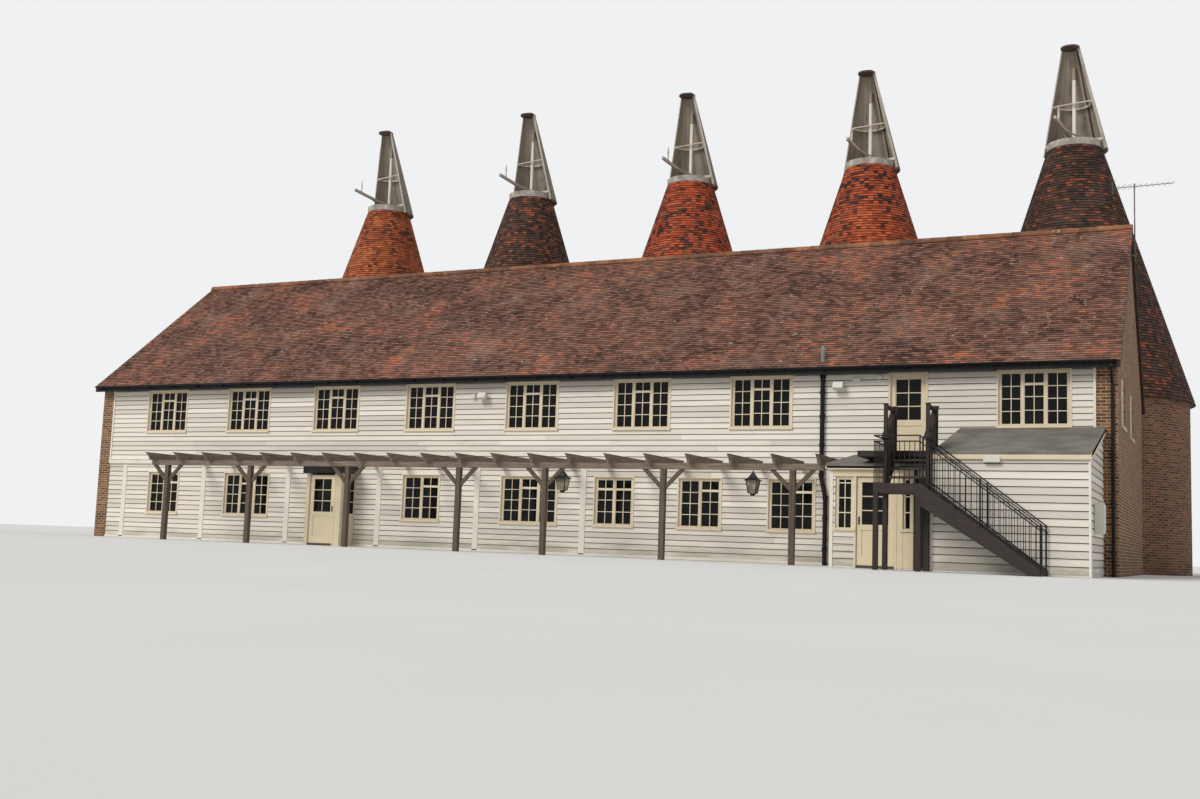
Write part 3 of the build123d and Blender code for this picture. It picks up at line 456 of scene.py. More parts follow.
pale_cream = painted("pale_cream", (226, 213, 188), (200, 184, 156), 0.4)
light_box = painted("light_box", (214, 212, 204), (180, 178, 170), 0.5)
black = painted("black", (30, 28, 28), (58, 54, 50), 0.4)
# Near-black panes: painted shade of the unlit rooms behind the glass
window_dark = dark_glass("window_dark", (12, 12, 11), 0.06)
lamp_glass = dark_glass("lamp_glass", (96, 90, 78), 0.2)
under_tiles = stained("under_tiles", (58, 42, 34), (74, 54, 44))
dark_timber = stained("dark_timber", (44, 38, 35), (66, 56, 50))
dark_upright = stained("dark_upright", (42, 36, 33), (62, 54, 48), "Z")
dark_guard = stained("dark_guard", (44, 38, 34), (64, 54, 48), "Z", 0.1)
tread_timber = stained("tread_timber", (72, 64, 56), (104, 92, 80), "Y")
pergola_upright = stained("pergola_upright", (74, 64, 54), (112, 98, 84), "Z")
pergola_timber = stained("pergola_timber", (96, 84, 73), (146, 131, 115))
rafter_timber = stained("rafter_timber", (96, 84, 73), (146, 131, 115), "Y")
floor_boards = stained("floor_boards", (150, 118, 82), (176, 142, 104), "X", 0.15)
cowl_outside = cowl_timber("cowl_outside", (92, 86, 80), (158, 152, 142))
# One timber in lit and shaded copies: the inside painted lighter as painted light in the shaded hollow, the
# outside darker as painted shade on the grazed flank
COWL_SHADED_OUTER = ((112, 100, 90), (156, 144, 131))
cowl_inside = cowl_timber("cowl_inside", (140, 129, 114), (173, 161, 145), COWL_SHADED_OUTER)
# Dark colours of the seam strip: a painted shadow line inside the cowl
cowl_shadow_line = cowl_timber("cowl_shadow_line", (70, 61, 54), (96, 86, 76))
cowl_edge = cowl_timber("cowl_edge", (166, 158, 146), (216, 208, 196))
cowl_post = cowl_timber("cowl_post", (184, 178, 166), (232, 226, 214))
cowl_cap = cowl_timber("cowl_cap", (78, 66, 60), (118, 102, 93))
cowl_vane = cowl_timber("cowl_vane", (148, 130, 116), (216, 206, 192))
kiln_curb = iron("kiln_curb", (160, 153, 144), 0.6)
black_iron = iron("black_iron", (22, 21, 22))
grey_pipe = iron("grey_pipe", (118, 120, 118), 0.6)
steel = iron("steel", (104, 100, 95), 0.4)
grey_felt = felt("grey_felt", (126, 122, 114))
slab = concrete("slab", (150, 146, 138))


# Making pieces


def fresh(add, **settings):
    """Adds one plain solid while nothing else is selected."""
    bpy.ops.object.select_all(action="DESELECT")
    add(**settings)
    return bpy.context.object


def pick(*parts):
    """Selects these parts alone. The last one is the one worked on."""
    bpy.ops.object.select_all(action="DESELECT")
    for part in parts:
        part.select_set(True)
    bpy.context.view_layer.objects.active = parts[-1]


def joined(parts):
    pick(*parts)
    if len(parts) > 1:
        bpy.ops.object.join()
    return bpy.context.object


def settle(part):
    """Puts a part's place, turn and size into its mesh."""
    pick(part)
    bpy.ops.object.transform_apply(location=True, rotation=True, scale=True)
    return part


def moved(parts, place):
    for part in parts:
        part.data.transform(place)
    return parts


def shape(part, kind, **settings):
    """Adds one modifier and applies it."""
    pick(part)
    modifier = part.modifiers.new(kind.lower(), kind)
    for key, value in settings.items():
        setattr(modifier, key, value)
    bpy.ops.object.modifier_apply(modifier=modifier.name)


def choose(part, kind, test):
    """Opens a part for editing with the corners or faces that pass the test."""
    pick(part)
    bpy.ops.object.mode_set(mode="EDIT")
    bpy.ops.mesh.select_mode(type=kind)
    bpy.ops.mesh.select_all(action="DESELECT")
    bpy.ops.object.mode_set(mode="OBJECT")
    for item in {"VERT": part.data.vertices, "FACE": part.data.polygons}[kind]:
        item.select = test(item)
    bpy.ops.object.mode_set(mode="EDIT")


def close():
    bpy.ops.object.mode_set(mode="OBJECT")


def drop_faces(part, test, kind="FACE"):
    choose(part, "FACE", test)
    bpy.ops.mesh.delete(type=kind)
    close()


def box(x_ends, y_ends, z_ends, ease=0.003):
    """A squared part between two values on each axis, with its edges eased."""
    ends = (x_ends, y_ends, z_ends)
    made = fresh(bpy.ops.mesh.primitive_cube_add, size=1, location=[sum(e) / 2 for e in ends])
    made.scale = [abs(b - a) for a, b in ends]
    settle(made)
    if ease:
        shape(made, "BEVEL", width=ease, segments=1, limit_method="ANGLE")
    return made


def taper(sides, wide, narrow, depth, middle, **settings):
    """A cone cut off at its top, with so many sides."""
    add = bpy.ops.mesh.primitive_cone_add
    return fresh(add, vertices=sides, radius1=wide, radius2=narrow, depth=depth, location=middle, **settings)


def drum(sides, radius, depth, middle):
    add = bpy.ops.mesh.primitive_cylinder_add
    return settle(fresh(add, vertices=sides, radius=radius, depth=depth, location=middle))


def rod(start, end, radius, sides=12, end_radius=None):
    """A round bar or tapered tube between two points."""
    start, end = Vector(start), Vector(end)
    run = end - start
    made = taper(sides, radius, radius if end_radius is None else end_radius, run.length, (start + end) / 2)
    made.rotation_euler = run.to_track_quat("Z", "Y").to_euler()
    settle(made)
    bpy.ops.object.shade_smooth_by_angle(angle=math.radians(40))
    return made


def upright(x, y, low, high, radius, sides=20, end_radius=None):
    return rod((x, y, low), (x, y, high), radius, sides, end_radius)


def stick(start, end, width, thick, ease=0.0, wide_way="Z"):
    """A squared bar between two points, with its wide side turned towards one axis."""
    start, end = Vector(start), Vector(end)
    run = end - start
    made = box(around(0, run.length / 2), around(0, thick / 2), around(0, width / 2), ease)
    way = Vector((0, 1, 0)) if wide_way == "Y" else Vector((0, 0, 1))
    side = way.cross(run).normalized()
    up = run.cross(side).normalized()
    turn = Matrix([run.normalized(), side, up]).transposed().to_4x4()
    made.data.transform(Matrix.Translation((start + end) / 2) @ turn)
    return made


def twin(pattern, place):
    """A copy of the pattern with a mesh of its own, moved to its place."""
    made = pattern.copy()
    made.data = pattern.data.copy()
    made.data.transform(place)
    bpy.context.scene.collection.objects.link(made)
    return made


def copies(pattern, places):
    """A twin of the pattern at each place. The pattern goes."""
    made = [twin(pattern, place) for place in places]
    bpy.data.objects.remove(pattern)
    return made


def trim(part, point, normal, fill=False):
    """Cuts a part by a plane and drops what lies on the normal's side."""
    choose(part, "FACE", lambda face: True)
    bpy.ops.mesh.bisect(plane_co=point, plane_no=normal, clear_outer=True, use_fill=fill)
    close()
    return part


def shade_each(part, faces, seed):
    """Marks each tile or board, of so many faces, with a shade of its own."""
    draw = random.Random(seed)
    count = len(part.data.polygons)
    shades = [draw.random() for _ in range(count // faces + 1)]
    mark = part.data.attributes.new("tone", "FLOAT", "FACE")
    mark.data.foreach_set("value", [shades[n // faces] for n in range(count)])


def piece(name, parts, look, body="building", stands_for=()):
    """Joins the parts under one name and finish, and lets them ride on a body."""
    made = joined(parts)
    made.name = name
    made.data.name = name
    made.data.materials.clear()
    made.data.materials.append(look)
    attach(made, body)
    if stands_for:
        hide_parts(*stands_for)
    return made


# The roofs


def roof_tile():
    """One plain tile drawn flat: X across, Y up the slope, Z out, its head tucked under."""
    made = box(around(0, TILE_WIDTH / 2 - 0.0015), (0, TILE_GAUGE + 0.014), (0, TILE_THICK), 0)
    drop_faces(made, lambda face: face.normal.z < -0.5 or face.normal.y > 0.5, "ONLY_FACE")
    choose(made, "VERT", lambda corner: corner.co.y > 0.05 and corner.co.z > 0.01)
    bpy.ops.transform.translate(value=(0, 0, -TILE_THICK))
    bpy.ops.mesh.select_all(action="SELECT")
    bpy.ops.mesh.remove_doubles(threshold=0.0001)
    close()
    return made


def roof_slope(name, turn, seed):
    """Courses of tiles up one slope of the store, each course half a tile along."""
    half_bond = Matrix.Translation((TILE_WIDTH / 2, ROOF_GAUGE, 0))
    coat = joined(copies(roof_tile(), [Matrix.Identity(4), half_bond]))
    columns = round(2 * ROOF_END / TILE_WIDTH) + 2
    for count, offset in ((columns, (TILE_WIDTH, 0, 0)), (ROOF_ROWS // 2, (0, 2 * ROOF_GAUGE, 0))):
        shape(
            coat,
            "ARRAY",
            count=count,
            use_relative_offset=False,
            use_constant_offset=True,
            constant_offset_displace=offset,
        )
    shade_each(coat, 4, seed)
    lean = Matrix.Rotation(ROOF_LEAN, 4, "X") @ Matrix.Translation((0, -0.03, 0))
    start = Matrix.Translation((-ROOF_END - TILE_WIDTH, -ROOF_REACH, EAVES))
    coat.data.transform(standing(0, 0, turn) @ start @ lean)
    for side in (-1, 1):
        trim(coat, (side * ROOF_END, 0, 0), (side, 0, 0))
    if turn:
        drop_faces(coat, lambda face: face.center.y > BACK and in_kiln(face.center))
    piece(name, [coat], roof_tiles)


def in_kiln(point):
    return any(math.hypot(point.x - x, point.y - KILN_Y) < KILN_RADIUS + 0.02 for x in KILN_X)


def ridge_caps():
    """Half-round ridge tiles, each with its lip over the next."""
    length, lap = 0.45, 0.02
    cap = rod((0, 0, 0), (length, 0, 0), 0.13, 16, 0.122)
    trim(cap, (0, 0, -0.03), (0, 0, -1))
    drop_faces(cap, lambda face: abs(face.normal.x) > 0.9)
    shape(cap, "SOLIDIFY", thickness=0.014, offset=-1)
    faces = len(cap.data.polygons)
    count = round(2 * ROOF_END / (length - lap))
    step = (2 * ROOF_END - length) / (count - 1)
    places = [Matrix.Translation((-ROOF_END + n * step, 0, RIDGE - 0.045)) for n in range(count)]
    made = piece("ridge_caps", copies(cap, places), ridge_clay, stands_for=["ridge_tiles"])
    shade_each(made, faces, 5)


def cone_coat():
    """Courses of tiles round a cone that stands at the origin."""
    lean = math.atan(CONE_TAPER)
    run = (CONE_TOP - CONE_BASE) / math.cos(lean)
    tile = roof_tile()
    courses = []
    for row in range(CONE_ROWS):
        up = row * run / CONE_ROWS - (0.02 if row == 0 else 0)
        radius = CONE_EAVES - up * math.sin(lean)
        count = round(math.tau * radius / TILE_WIDTH)
        width = math.tau * radius / count / TILE_WIDTH
        axes = Matrix(
            (
                (0, -math.sin(lean), math.cos(lean), radius),
                (width, 0, 0, 0),
                (0, math.cos(lean), math.sin(lean), CONE_BASE + up * math.cos(lean)),
                (0, 0, 0, 1),
            )
        )
        course = twin(tile, standing(0, 0, row * math.pi / count) @ axes)
        choose(course, "FACE", lambda face: True)
        bpy.ops.mesh.spin(
            steps=count - 1,
            dupli=True,
            angle=math.tau * (count - 1) / count,
            use_auto_merge=False,
            center=(0, 0, 0),
            axis=(0, 0, 1),
        )
        close()
        courses.append(course)
    bpy.data.objects.remove(tile)
    return joined(courses)


def kiln_cones():
    """The five cones' tiles, cut where they meet the store's roof and one another."""
    coat = cone_coat()
    slope = Vector((0, RIDGE - EAVES, ROOF_REACH)).normalized()
    for number, x in enumerate(KILN_X):
        tiles = twin(coat, standing(x, KILN_Y, 0.7 * number))
        shade_each(tiles, 4, 20 + number)
        trim(tiles, (0, 0, RIDGE), -slope)
        for side in (-1, 1):
            if 0 <= number + side < len(KILN_X):
                trim(tiles, (x + side * KILN_PITCH / 2, 0, 0), (side, 0, 0))
        piece(f"kiln_tiles_{number + 1}", [tiles], cone_tiles[number])
    bpy.data.objects.remove(coat)


# The cowls


def cowl_shell():
    """The tapered boards round a cowl, upright, with eased edges that meet in V joints."""
    half = COWL_BASE_RADIUS * math.sin(math.pi / COWL_BOARDS)
    board = box((-0.03, 0.005), around(0, half), (COWL_SKIRT, COWL_TOP), 0.006)
    choose(board, "VERT", lambda corner: corner.co.z > 15)
    narrow = COWL_TOP_RADIUS / COWL_BASE_RADIUS
    bpy.ops.transform.resize(value=(1, narrow, 1), center_override=(0, 0, COWL_TOP))
    bpy.ops.transform.translate(value=(COWL_TOP_RADIUS - COWL_BASE_RADIUS, 0, 0))
    close()
    faces = board.data.polygons
    mark = board.data.attributes.new("outside", "FLOAT", "FACE")
    mark.data.foreach_set("value", [float(face.normal.x > 0.5) for face in faces])
    count = len(board.data.polygons)
    out = Matrix.Translation((COWL_BASE_RADIUS, 0, 0))
    turns = [math.tau * (n + 0.5) / COWL_BOARDS for n in range(COWL_BOARDS)]
    shell = joined(copies(board, [standing(0, 0, turn) @ out for turn in turns]))
    shade_each(shell, count, 40)
    return trim(shell, (COWL_MOUTH, 0, 0), (1, 0, 0), fill=True)


def cowl_radius(z):
    """Inner radius of a cowl's boards at a height."""
    share = (z - COWL_SKIRT) / (COWL_TOP - COWL_SKIRT)
    return COWL_BASE_RADIUS + (COWL_TOP_RADIUS - COWL_BASE_RADIUS) * share - COWL_WALL


def mouth_half(z):
    """Half the width of a cowl's mouth at a height, out to its boards' outer faces."""
    return math.sqrt((cowl_radius(z) + COWL_WALL) ** 2 - COWL_MOUTH**2)


def cowl_mouth_boards():
    """The pale boards down the two edges of the mouth."""
    parts = []
    for side, wide in ((-1, 0.04), (1, 0.09)):
        inset = wide / 2 - 0.008
        low = (COWL_MOUTH + 0.013, side * (mouth_half(COWL_SKIRT) - inset), COWL_SKIRT)
        high = (COWL_MOUTH + 0.013, side * (mouth_half(COWL_TOP) - inset * 0.7), COWL_TOP)
        parts.append(stick(low, high, wide, 0.026, 0.004, "Y"))
    return parts


def cowl_shelf():
    """The shelf's batten across the mouth and its half ring round the back."""
    z, thick, width = 15.2, 0.05, 0.09
    batten = box(proud(COWL_MOUTH, 0.03, 0.015), around(0, mouth_half(15.22) - 0.02), (15.205, 15.24), 0.004)
    radius = cowl_radius(z) + 0.01
    ring = drum(40, radius, thick, (0, 0, z))
    hole = drum(40, radius - width, 2 * thick, (0, 0, z))
    shape(ring, "BOOLEAN", object=hole, operation="DIFFERENCE")
    bpy.data.objects.remove(hole)
    return [batten, trim(ring, (COWL_MOUTH, 0, 0), (1, 0, 0), fill=True)]


def cowl_shadow_strip():
    """A dark strip inside, up one joint of the boards at the back, as a painted shadow line."""
    ends = []
    for z, degrees in ((COWL_SKIRT + 0.2, 152), (COWL_TOP - 0.05, 138)):
        angle = math.radians(degrees)
        radius = cowl_radius(z) - 0.01
        ends.append((radius * math.cos(angle), radius * math.sin(angle), z))
    return stick(*ends, 0.05, 0.03, 0.004, "Y")


def cowl_top_board():
    """The twelve-sided cap, with its top raised and drawn in."""
    cap = drum(12, 0.305, 0.05, (COWL_LEAN, 0, COWL_TOP))
    choose(cap, "FACE", lambda face: face.normal.z > 0.9)
    bpy.ops.mesh.inset(thickness=0.12)
    bpy.ops.transform.translate(value=(0, 0, 0.07))
    bpy.ops.transform.resize(value=(0.45, 1.1, 1))
    close()
    return cap


def cowls():
    """Each cowl: its leaning boards, edge boards and shelf, the upright post with its
    rail, the arm with its finial, and the cap on top."""
    lean = Matrix.Identity(4)
    lean[0][2] = COWL_LEAN / (COWL_TOP - COWL_SKIRT)
    lean[0][3] = -lean[0][2] * COWL_SKIRT
    sets = {
        "boards": (moved([cowl_shell()], lean), cowl_inside),
        # The seam strip is a painted shadow line: dark timber up the back where only shade lies
        "seam": (moved([cowl_shadow_strip()], lean), cowl_shadow_line),
        "edges": (moved(cowl_mouth_boards() + cowl_shelf(), lean), cowl_edge),
    }
    rail = box((-0.045, 0.045), around(0, cowl_radius(13.9)), (13.882, 13.972), 0.006)
    sets["stem"] = ([upright(0, 0, 12.5003, POST_TOP, 0.06)], cowl_inside)
    sets["post"] = ([upright(0, 0, 13.95, 16.05, 0.066), rail], cowl_post)
    vane = [stick((0.05, 0, 13.968), (1.85, 0, 14.283), 0.11, 0.075, 0.004)]
    for side in (-1, 1):
        vane.append(stick((0.02, side * 0.36, 13.935), (0.95, side * 0.03, 14.12), 0.05, 0.03, 0.003))
    vane.append(stick((1.5, 0, 14.2), (1.5, 0, 14.55), 0.06, 0.03, 0.004, "Y"))
    vane.append(settle(taper(4, 0.05, 0.006, 0.26, (1.5, 0, 14.655), scale=(0.5, 1, 1))))
    sets["vane"] = (vane, cowl_vane)
    sets["cap"] = ([cowl_top_board()], cowl_cap)
    places = [standing(x, KILN_Y, math.radians(facing)) for x, facing in zip(KILN_X, COWL_FACINGS)]
    for word, (parts, look) in sets.items():
        whole = joined(parts)
        if not whole.data.attributes.get("tone"):
            shade_each(whole, 6, len(word))
        for number, made in enumerate(copies(whole, places), 1):
            stands = [f"cowl_{number}"] if word == "boards" else []
            piece(f"cowl_{word}_{number}", [made], look, f"cowl_{number}_head", stands)


# Boarded walls


def board_pattern():
    """One feather-edged board, a metre long and high, thick at its foot."""
    made = box((-0.5, 0.5), (-0.02, 0), (0, 1), 0)
    choose(made, "VERT", lambda corner: corner.co.z > 0.5 and corner.co.y < -0.01)
    bpy.ops.transform.translate(value=(0, 0.016, 0))
    close()
    drop_faces(made, lambda face: face.normal.y > 0.9)
    return made


def clear_runs(stops, holes, low, high):
    """The stretches of one course that no opening takes: left, right, foot and head."""
    runs = []
    for left, right in zip(stops, stops[1:]):
        free = [(low, high)]
        for hole in holes:
            if hole[0] < (left + right) / 2 < hole[1]:
                cut = [part for a, b in free for part in ((a, min(b, hole[2])), (max(a, hole[3]), b))]
                free = [(a, b) for a, b in cut if b - a > 0.008]
        for foot, head in free:
            if runs and runs[-1][1:] == (left, foot, head):
                runs[-1] = (runs[-1][0], right, foot, head)
            else:
                runs.append((left, right, foot, head))
    return runs


def board_places(x_ends, z_ends, exposure, holes, seed):
    """Where each length of board goes on a wall, stopping at its openings."""
    draw = random.Random(seed)
    places = []
    stops = sorted({*x_ends, *[x for hole in holes for x in hole[:2] if x_ends[0] < x < x_ends[1]]})
    z = z_ends[0]
    while z < z_ends[1] - 0.01:
        top = min(z + exposure, z_ends[1])
        for start, right, low, high in clear_runs(stops, holes, z, top):
            while right - start > 0.001:
                length = draw.uniform(2.4, 4.4)
                stop = right if right - start < length + 1.0 else start + length
                lap = 0.012 if high == top else 0.0
                size = Matrix.Diagonal((stop - start - 0.002, 1, high + lap - low, 1))
                places.append(Matrix.Translation(((start + stop) / 2, 0, low)) @ size)
                start = stop
        z += exposure
    return places


def boarded(name, wall, x_ends, z_ends, holes, look, seed, exposure=BOARD, cut=None):
    """Weatherboards on one wall. The wall's matrix turns along, out and up to its place."""
    places = board_places(x_ends, z_ends, exposure, holes, seed)
    made = joined(copies(board_pattern(), [wall @ place for place in places]))
    shade_each(made, 5, seed)
    if cut:
        trim(made, *cut)
    piece(name, [made], look)


def opening(place, width, sill, head):
    return (*around(along(place), width / 2), sill, head)


def front_wall_boards():
    """Boards, pilasters, band, plinth and corner strips of the store's front."""
    left, right = around(0, RIGHT - PIER)
    holes = [opening(*window[:4]) for window in UPPER_WINDOWS] + [opening(*UPPER_DOOR, 2.64, 4.67)]
    upper_ends = (UPPER_BASE + 0.06, 4.925)
    boarded("upper_boards", standing(0, FRONT), (left, right), upper_ends, holes, upper_paint, 2)
    holes = [opening(*window[:4]) for window in LOWER_WINDOWS]
    holes += [(*around(along(p), PILASTER_HALF), 0, UPPER_BASE) for p in PILASTERS]
    holes.append((*LEFT_PORCH, 0, 2.33))
    boarded("lower_boards", standing(0, LOWER_FACE), (left, PORCH_LEFT), (0.06, 2.36), holes, front_paint, 3)
    depth = proud(LOWER_FACE, 0.03)
    strips = [box(around(along(p), PILASTER_HALF), depth, (0.03, 2.36), 0.004) for p in PILASTERS]
    band = box((left, along(5.98)), proud(FRONT, 0.045), (2.36, UPPER_BASE + 0.065), 0.006)
    drip = box((left, along(5.98)), proud(FRONT, 0.07), around(UPPER_BASE + 0.06, 0.015), 0.006)
    for ends in ((left, LEFT_PORCH[0]), (LEFT_PORCH[1], along(6.0))):
        strips.append(box(ends, depth, (0.0, 0.065), 0.004))
    for edge in (left, right - 0.06):
        strips.append(box((edge, edge + 0.06), proud(FRONT, 0.035), (UPPER_BASE, 4.92), 0.004))
    piece("front_trim", [*strips, band, drip], plain_white)


def porch_and_leanto_boards():
    """Boards of the porch and the lean-to, cut to their roofs' slopes, and corner strips."""
    ends = (PORCH_LEFT, LEANTO_LEFT)
    holes = [opening(5.59, 0.42, 0.82, 2.04), (*between(5.32, 3.43), 0, 3)]
    boarded("porch_boards", standing(0, PORCH_FRONT), ends, (0.05, 2.04), holes, leanto_paint, 4)
    side = standing(PORCH_LEFT, 0, -math.pi / 2)
    roof = ((0, FRONT, 2.6), Vector((0, -0.152, 1)).normalized())
    depth = (-LOWER_FACE, -PORCH_FRONT)
    boarded("porch_side_boards", side, depth, (0.05, 2.75), [], leanto_paint, 5, cut=roof)
    head = box(ends, proud(PORCH_FRONT, 0.022), (2.04, 2.21))
    piece("porch_head_board", [head], cream)
    ends = (LEANTO_LEFT, LEANTO_RIGHT)
    boarded("leanto_boards", standing(0, LEANTO_FRONT), ends, (0.05, 2.43), [], leanto_paint, 7, LEANTO_BOARD)
    roof = ((0, FRONT, 3.265), Vector((0, -0.2436, 1)).normalized())
    for word, x, turn, depth in (
        ("right", LEANTO_RIGHT, math.pi / 2, (LEANTO_FRONT, FRONT)),
        ("left", LEANTO_LEFT, -math.pi / 2, (-FRONT, -LEANTO_FRONT)),
    ):
        side = standing(x, 0, turn)
        boarded(f"leanto_{word}_boards", side, depth, (0.05, 3.3), [], leanto_paint, 8, LEANTO_BOARD, roof)
    depth = proud(LEANTO_FRONT, 0.028, 0.06)
    corners = [
        box((LEANTO_LEFT - 0.046, LEANTO_LEFT), depth, (0, 2.46)),
        box((LEANTO_RIGHT - 0.001, LEANTO_RIGHT + 0.045), depth, (0, 2.46)),
        box((PORCH_LEFT - 0.028, PORCH_LEFT + 0.05), proud(PORCH_FRONT, 0.028, 0.05), (0, 2.2)),
    ]
    piece("corner_strips", corners, plain_white)


def fascias():
    """Cream boards under the small roofs."""
    left, right = between(3.465, 0.26)
    parts = [
        box(between(5.98, 3.43), proud(PORCH_FRONT, 0.1, -0.075), (2.19, 2.27), 0.004),
        box((left, right), proud(LEANTO_FRONT, 0.072, -0.05), (2.36, 2.46), 0.004),
    ]
    for x in (left + 0.011, right - 0.011):
        parts.append(stick((x, LEANTO_FRONT - 0.06, 2.43), (x, FRONT - 0.01, 3.245), 0.13, 0.022, 0.003))
    piece("fascias", parts, cream)


# Windows and doors


def glazing_bars(x_ends, z_ends, y, columns, rows, stile=0.012, bar=0.02, depth=0.03):
    """A light's own frame and its bars, from y back to its depth."""
    (left, right), (low, high) = x_ends, z_ends
    back = y + depth
    parts = [
        box((left, left + stile), (y, back), z_ends),
        box((right - stile, right), (y, back), z_ends),
        box(x_ends, (y + 0.001, back), (low, low + stile)),
        box(x_ends, (y + 0.001, back), (high - stile, high)),
    ]
    for n in range(1, columns):
        x = left + stile + (right - left - 2 * stile) * n / columns
        parts.append(box(around(x, bar / 2), (y + 0.006, back), (low + 0.01, high - 0.01)))
    z = low + stile
    for share, thick in rows[:-1]:
        z += (high - low - 2 * stile) * share
        front = y + (0.008 if thick == bar else 0.002)
        parts.append(box((left + 0.01, right - 0.01), (front, back), around(z, thick / 2)))
    return parts


def window_lights(width, lights):
    """Left and right ends of each light, from the window's middle."""
    clear = (width - 2 * WINDOW_FRAME - (lights - 1) * MULLION) / lights
    lefts = [-width / 2 + WINDOW_FRAME + n * (clear + MULLION) for n in range(lights)]
    return [(left, left + clear) for left in lefts]


def window_bars(place, width, sill, head, lights, face):
    """The lights of one window. The second has a fanlight over it, and in one window both have."""
    parts = []
    for number, (left, right) in enumerate(window_lights(width, lights)):
        rows = FANLIGHT if number == 1 or place == TWO_FANLIGHTS else EQUAL
        ends = (along(place) + left, along(place) + right)
        parts += glazing_bars(ends, (sill + WINDOW_FRAME, head - WINDOW_FRAME), face + 0.03, 2, rows)
    return parts


def windows():
    """Glazing bars of all windows, and sills and casings of those in the front."""
    parts = [bar for window in UPPER_WINDOWS for bar in window_bars(*window)]
    piece("upper_window_bars", parts, pale_cream)
    parts = [bar for window in LOWER_WINDOWS for bar in window_bars(*window)]
    parts += glazing_bars(between(5.74, 5.44), (0.88, 1.98), PORCH_FRONT + 0.03, 2, [(0.31, 0.024)] * 4)
    parts += glazing_bars(between(4.24, 4.12), (0.89, 1.98), PORCH_FRONT + 0.03, 1, [(0.33, 0.024)] * 3)
    piece("lower_window_bars", parts, pale_cream)
    parts = []
    for place, width, sill, head, _, face in UPPER_WINDOWS + LOWER_WINDOWS:
        left, right = around(along(place), width / 2)
        ends = (left - 0.05, right + 0.05)
        parts.append(box(ends, proud(face, 0.06, 0.03), (sill - 0.03, sill + 0.012), 0.006))
        ends = (left - CASING, right + CASING)
        parts.append(box(ends, proud(face, 0.032, 0.002), (head, head + 0.03), 0.004))
        for edge in (left - CASING, right):
            parts.append(box((edge, edge + CASING), proud(face, 0.03, 0.002), (sill, head)))
    piece("window_sills", parts, pale_cream)
    parts = []
    for side in (-1, 1):
        for middle in (FRONT + 1.7, FRONT + 4.9):
            wall = standing(side * RIGHT, middle, side * math.pi / 2)
            for ends, rows in zip(window_lights(1.15, 2), (EQUAL, FANLIGHT)):
                parts += moved(glazing_bars(ends, (3.51, 4.59), 0.03, 2, rows), wall)
    piece("gable_window_bars", parts, pale_cream)


def moulding(x_ends, y_ends, z_ends, rail=0.018):
    """Four thin strips round a panel."""
    (left, right), (low, high) = x_ends, z_ends
    return [
        box(x_ends, y_ends, (low, low + rail), 0.002),
        box(x_ends, y_ends, (high - rail, high), 0.002),
        box((left, left + rail), y_ends, z_ends, 0.002),
        box((right - rail, right), y_ends, z_ends, 0.002),
    ]


def door_dressing(name, x_ends, y, knob, glazed, inner_knob):
    """Glass, bars, panel moulding and a knob on one leaf. y is the middle of its thickness."""
    body = f"{name}_leaf"
    low, high = 0.062, 2.028
    inner = (x_ends[0] + 0.1, x_ends[1] - 0.1)
    made = []
    panel = (low + 0.21, high - 0.1)
    look, slot = black, "black_paint"
    if glazed:
        panes = (low + 0.89, high - 0.1)
        piece(f"{name}_glass", [box(inner, around(y, 0.0075), panes, 0)], window_dark, body)
        for face in (y - 0.021, y + 0.009):
            made += glazing_bars(inner, panes, face, 2, DOOR_PANES, 0.016, 0.022, 0.012)
        panel = (low + 0.21, low + 0.80)
        look, slot = cream, "cream_paint"
    for face in (y - 0.024, y + 0.014):
        made += moulding(inner, (face, face + 0.01), panel)
    piece(f"{name}_mouldings", made, look, body)
    z = low + 1.0
    handle = [
        rod((knob, y - 0.03, z), (knob, y + (0.03 if inner_knob else 0.02), z), 0.009, 10),
        rod((knob, y - 0.045, z), (knob, y - 0.03, z), 0.018, 14, 0.024),
        box(around(knob, 0.02), around(y, 0.0235), (z - 0.1, z + 0.08), 0.002),
    ]
    if inner_knob:
        handle.append(rod((knob, y + 0.03, z), (knob, y + 0.045, z), 0.024, 14, 0.018))
    piece(f"{name}_knob", handle, black_iron, body)


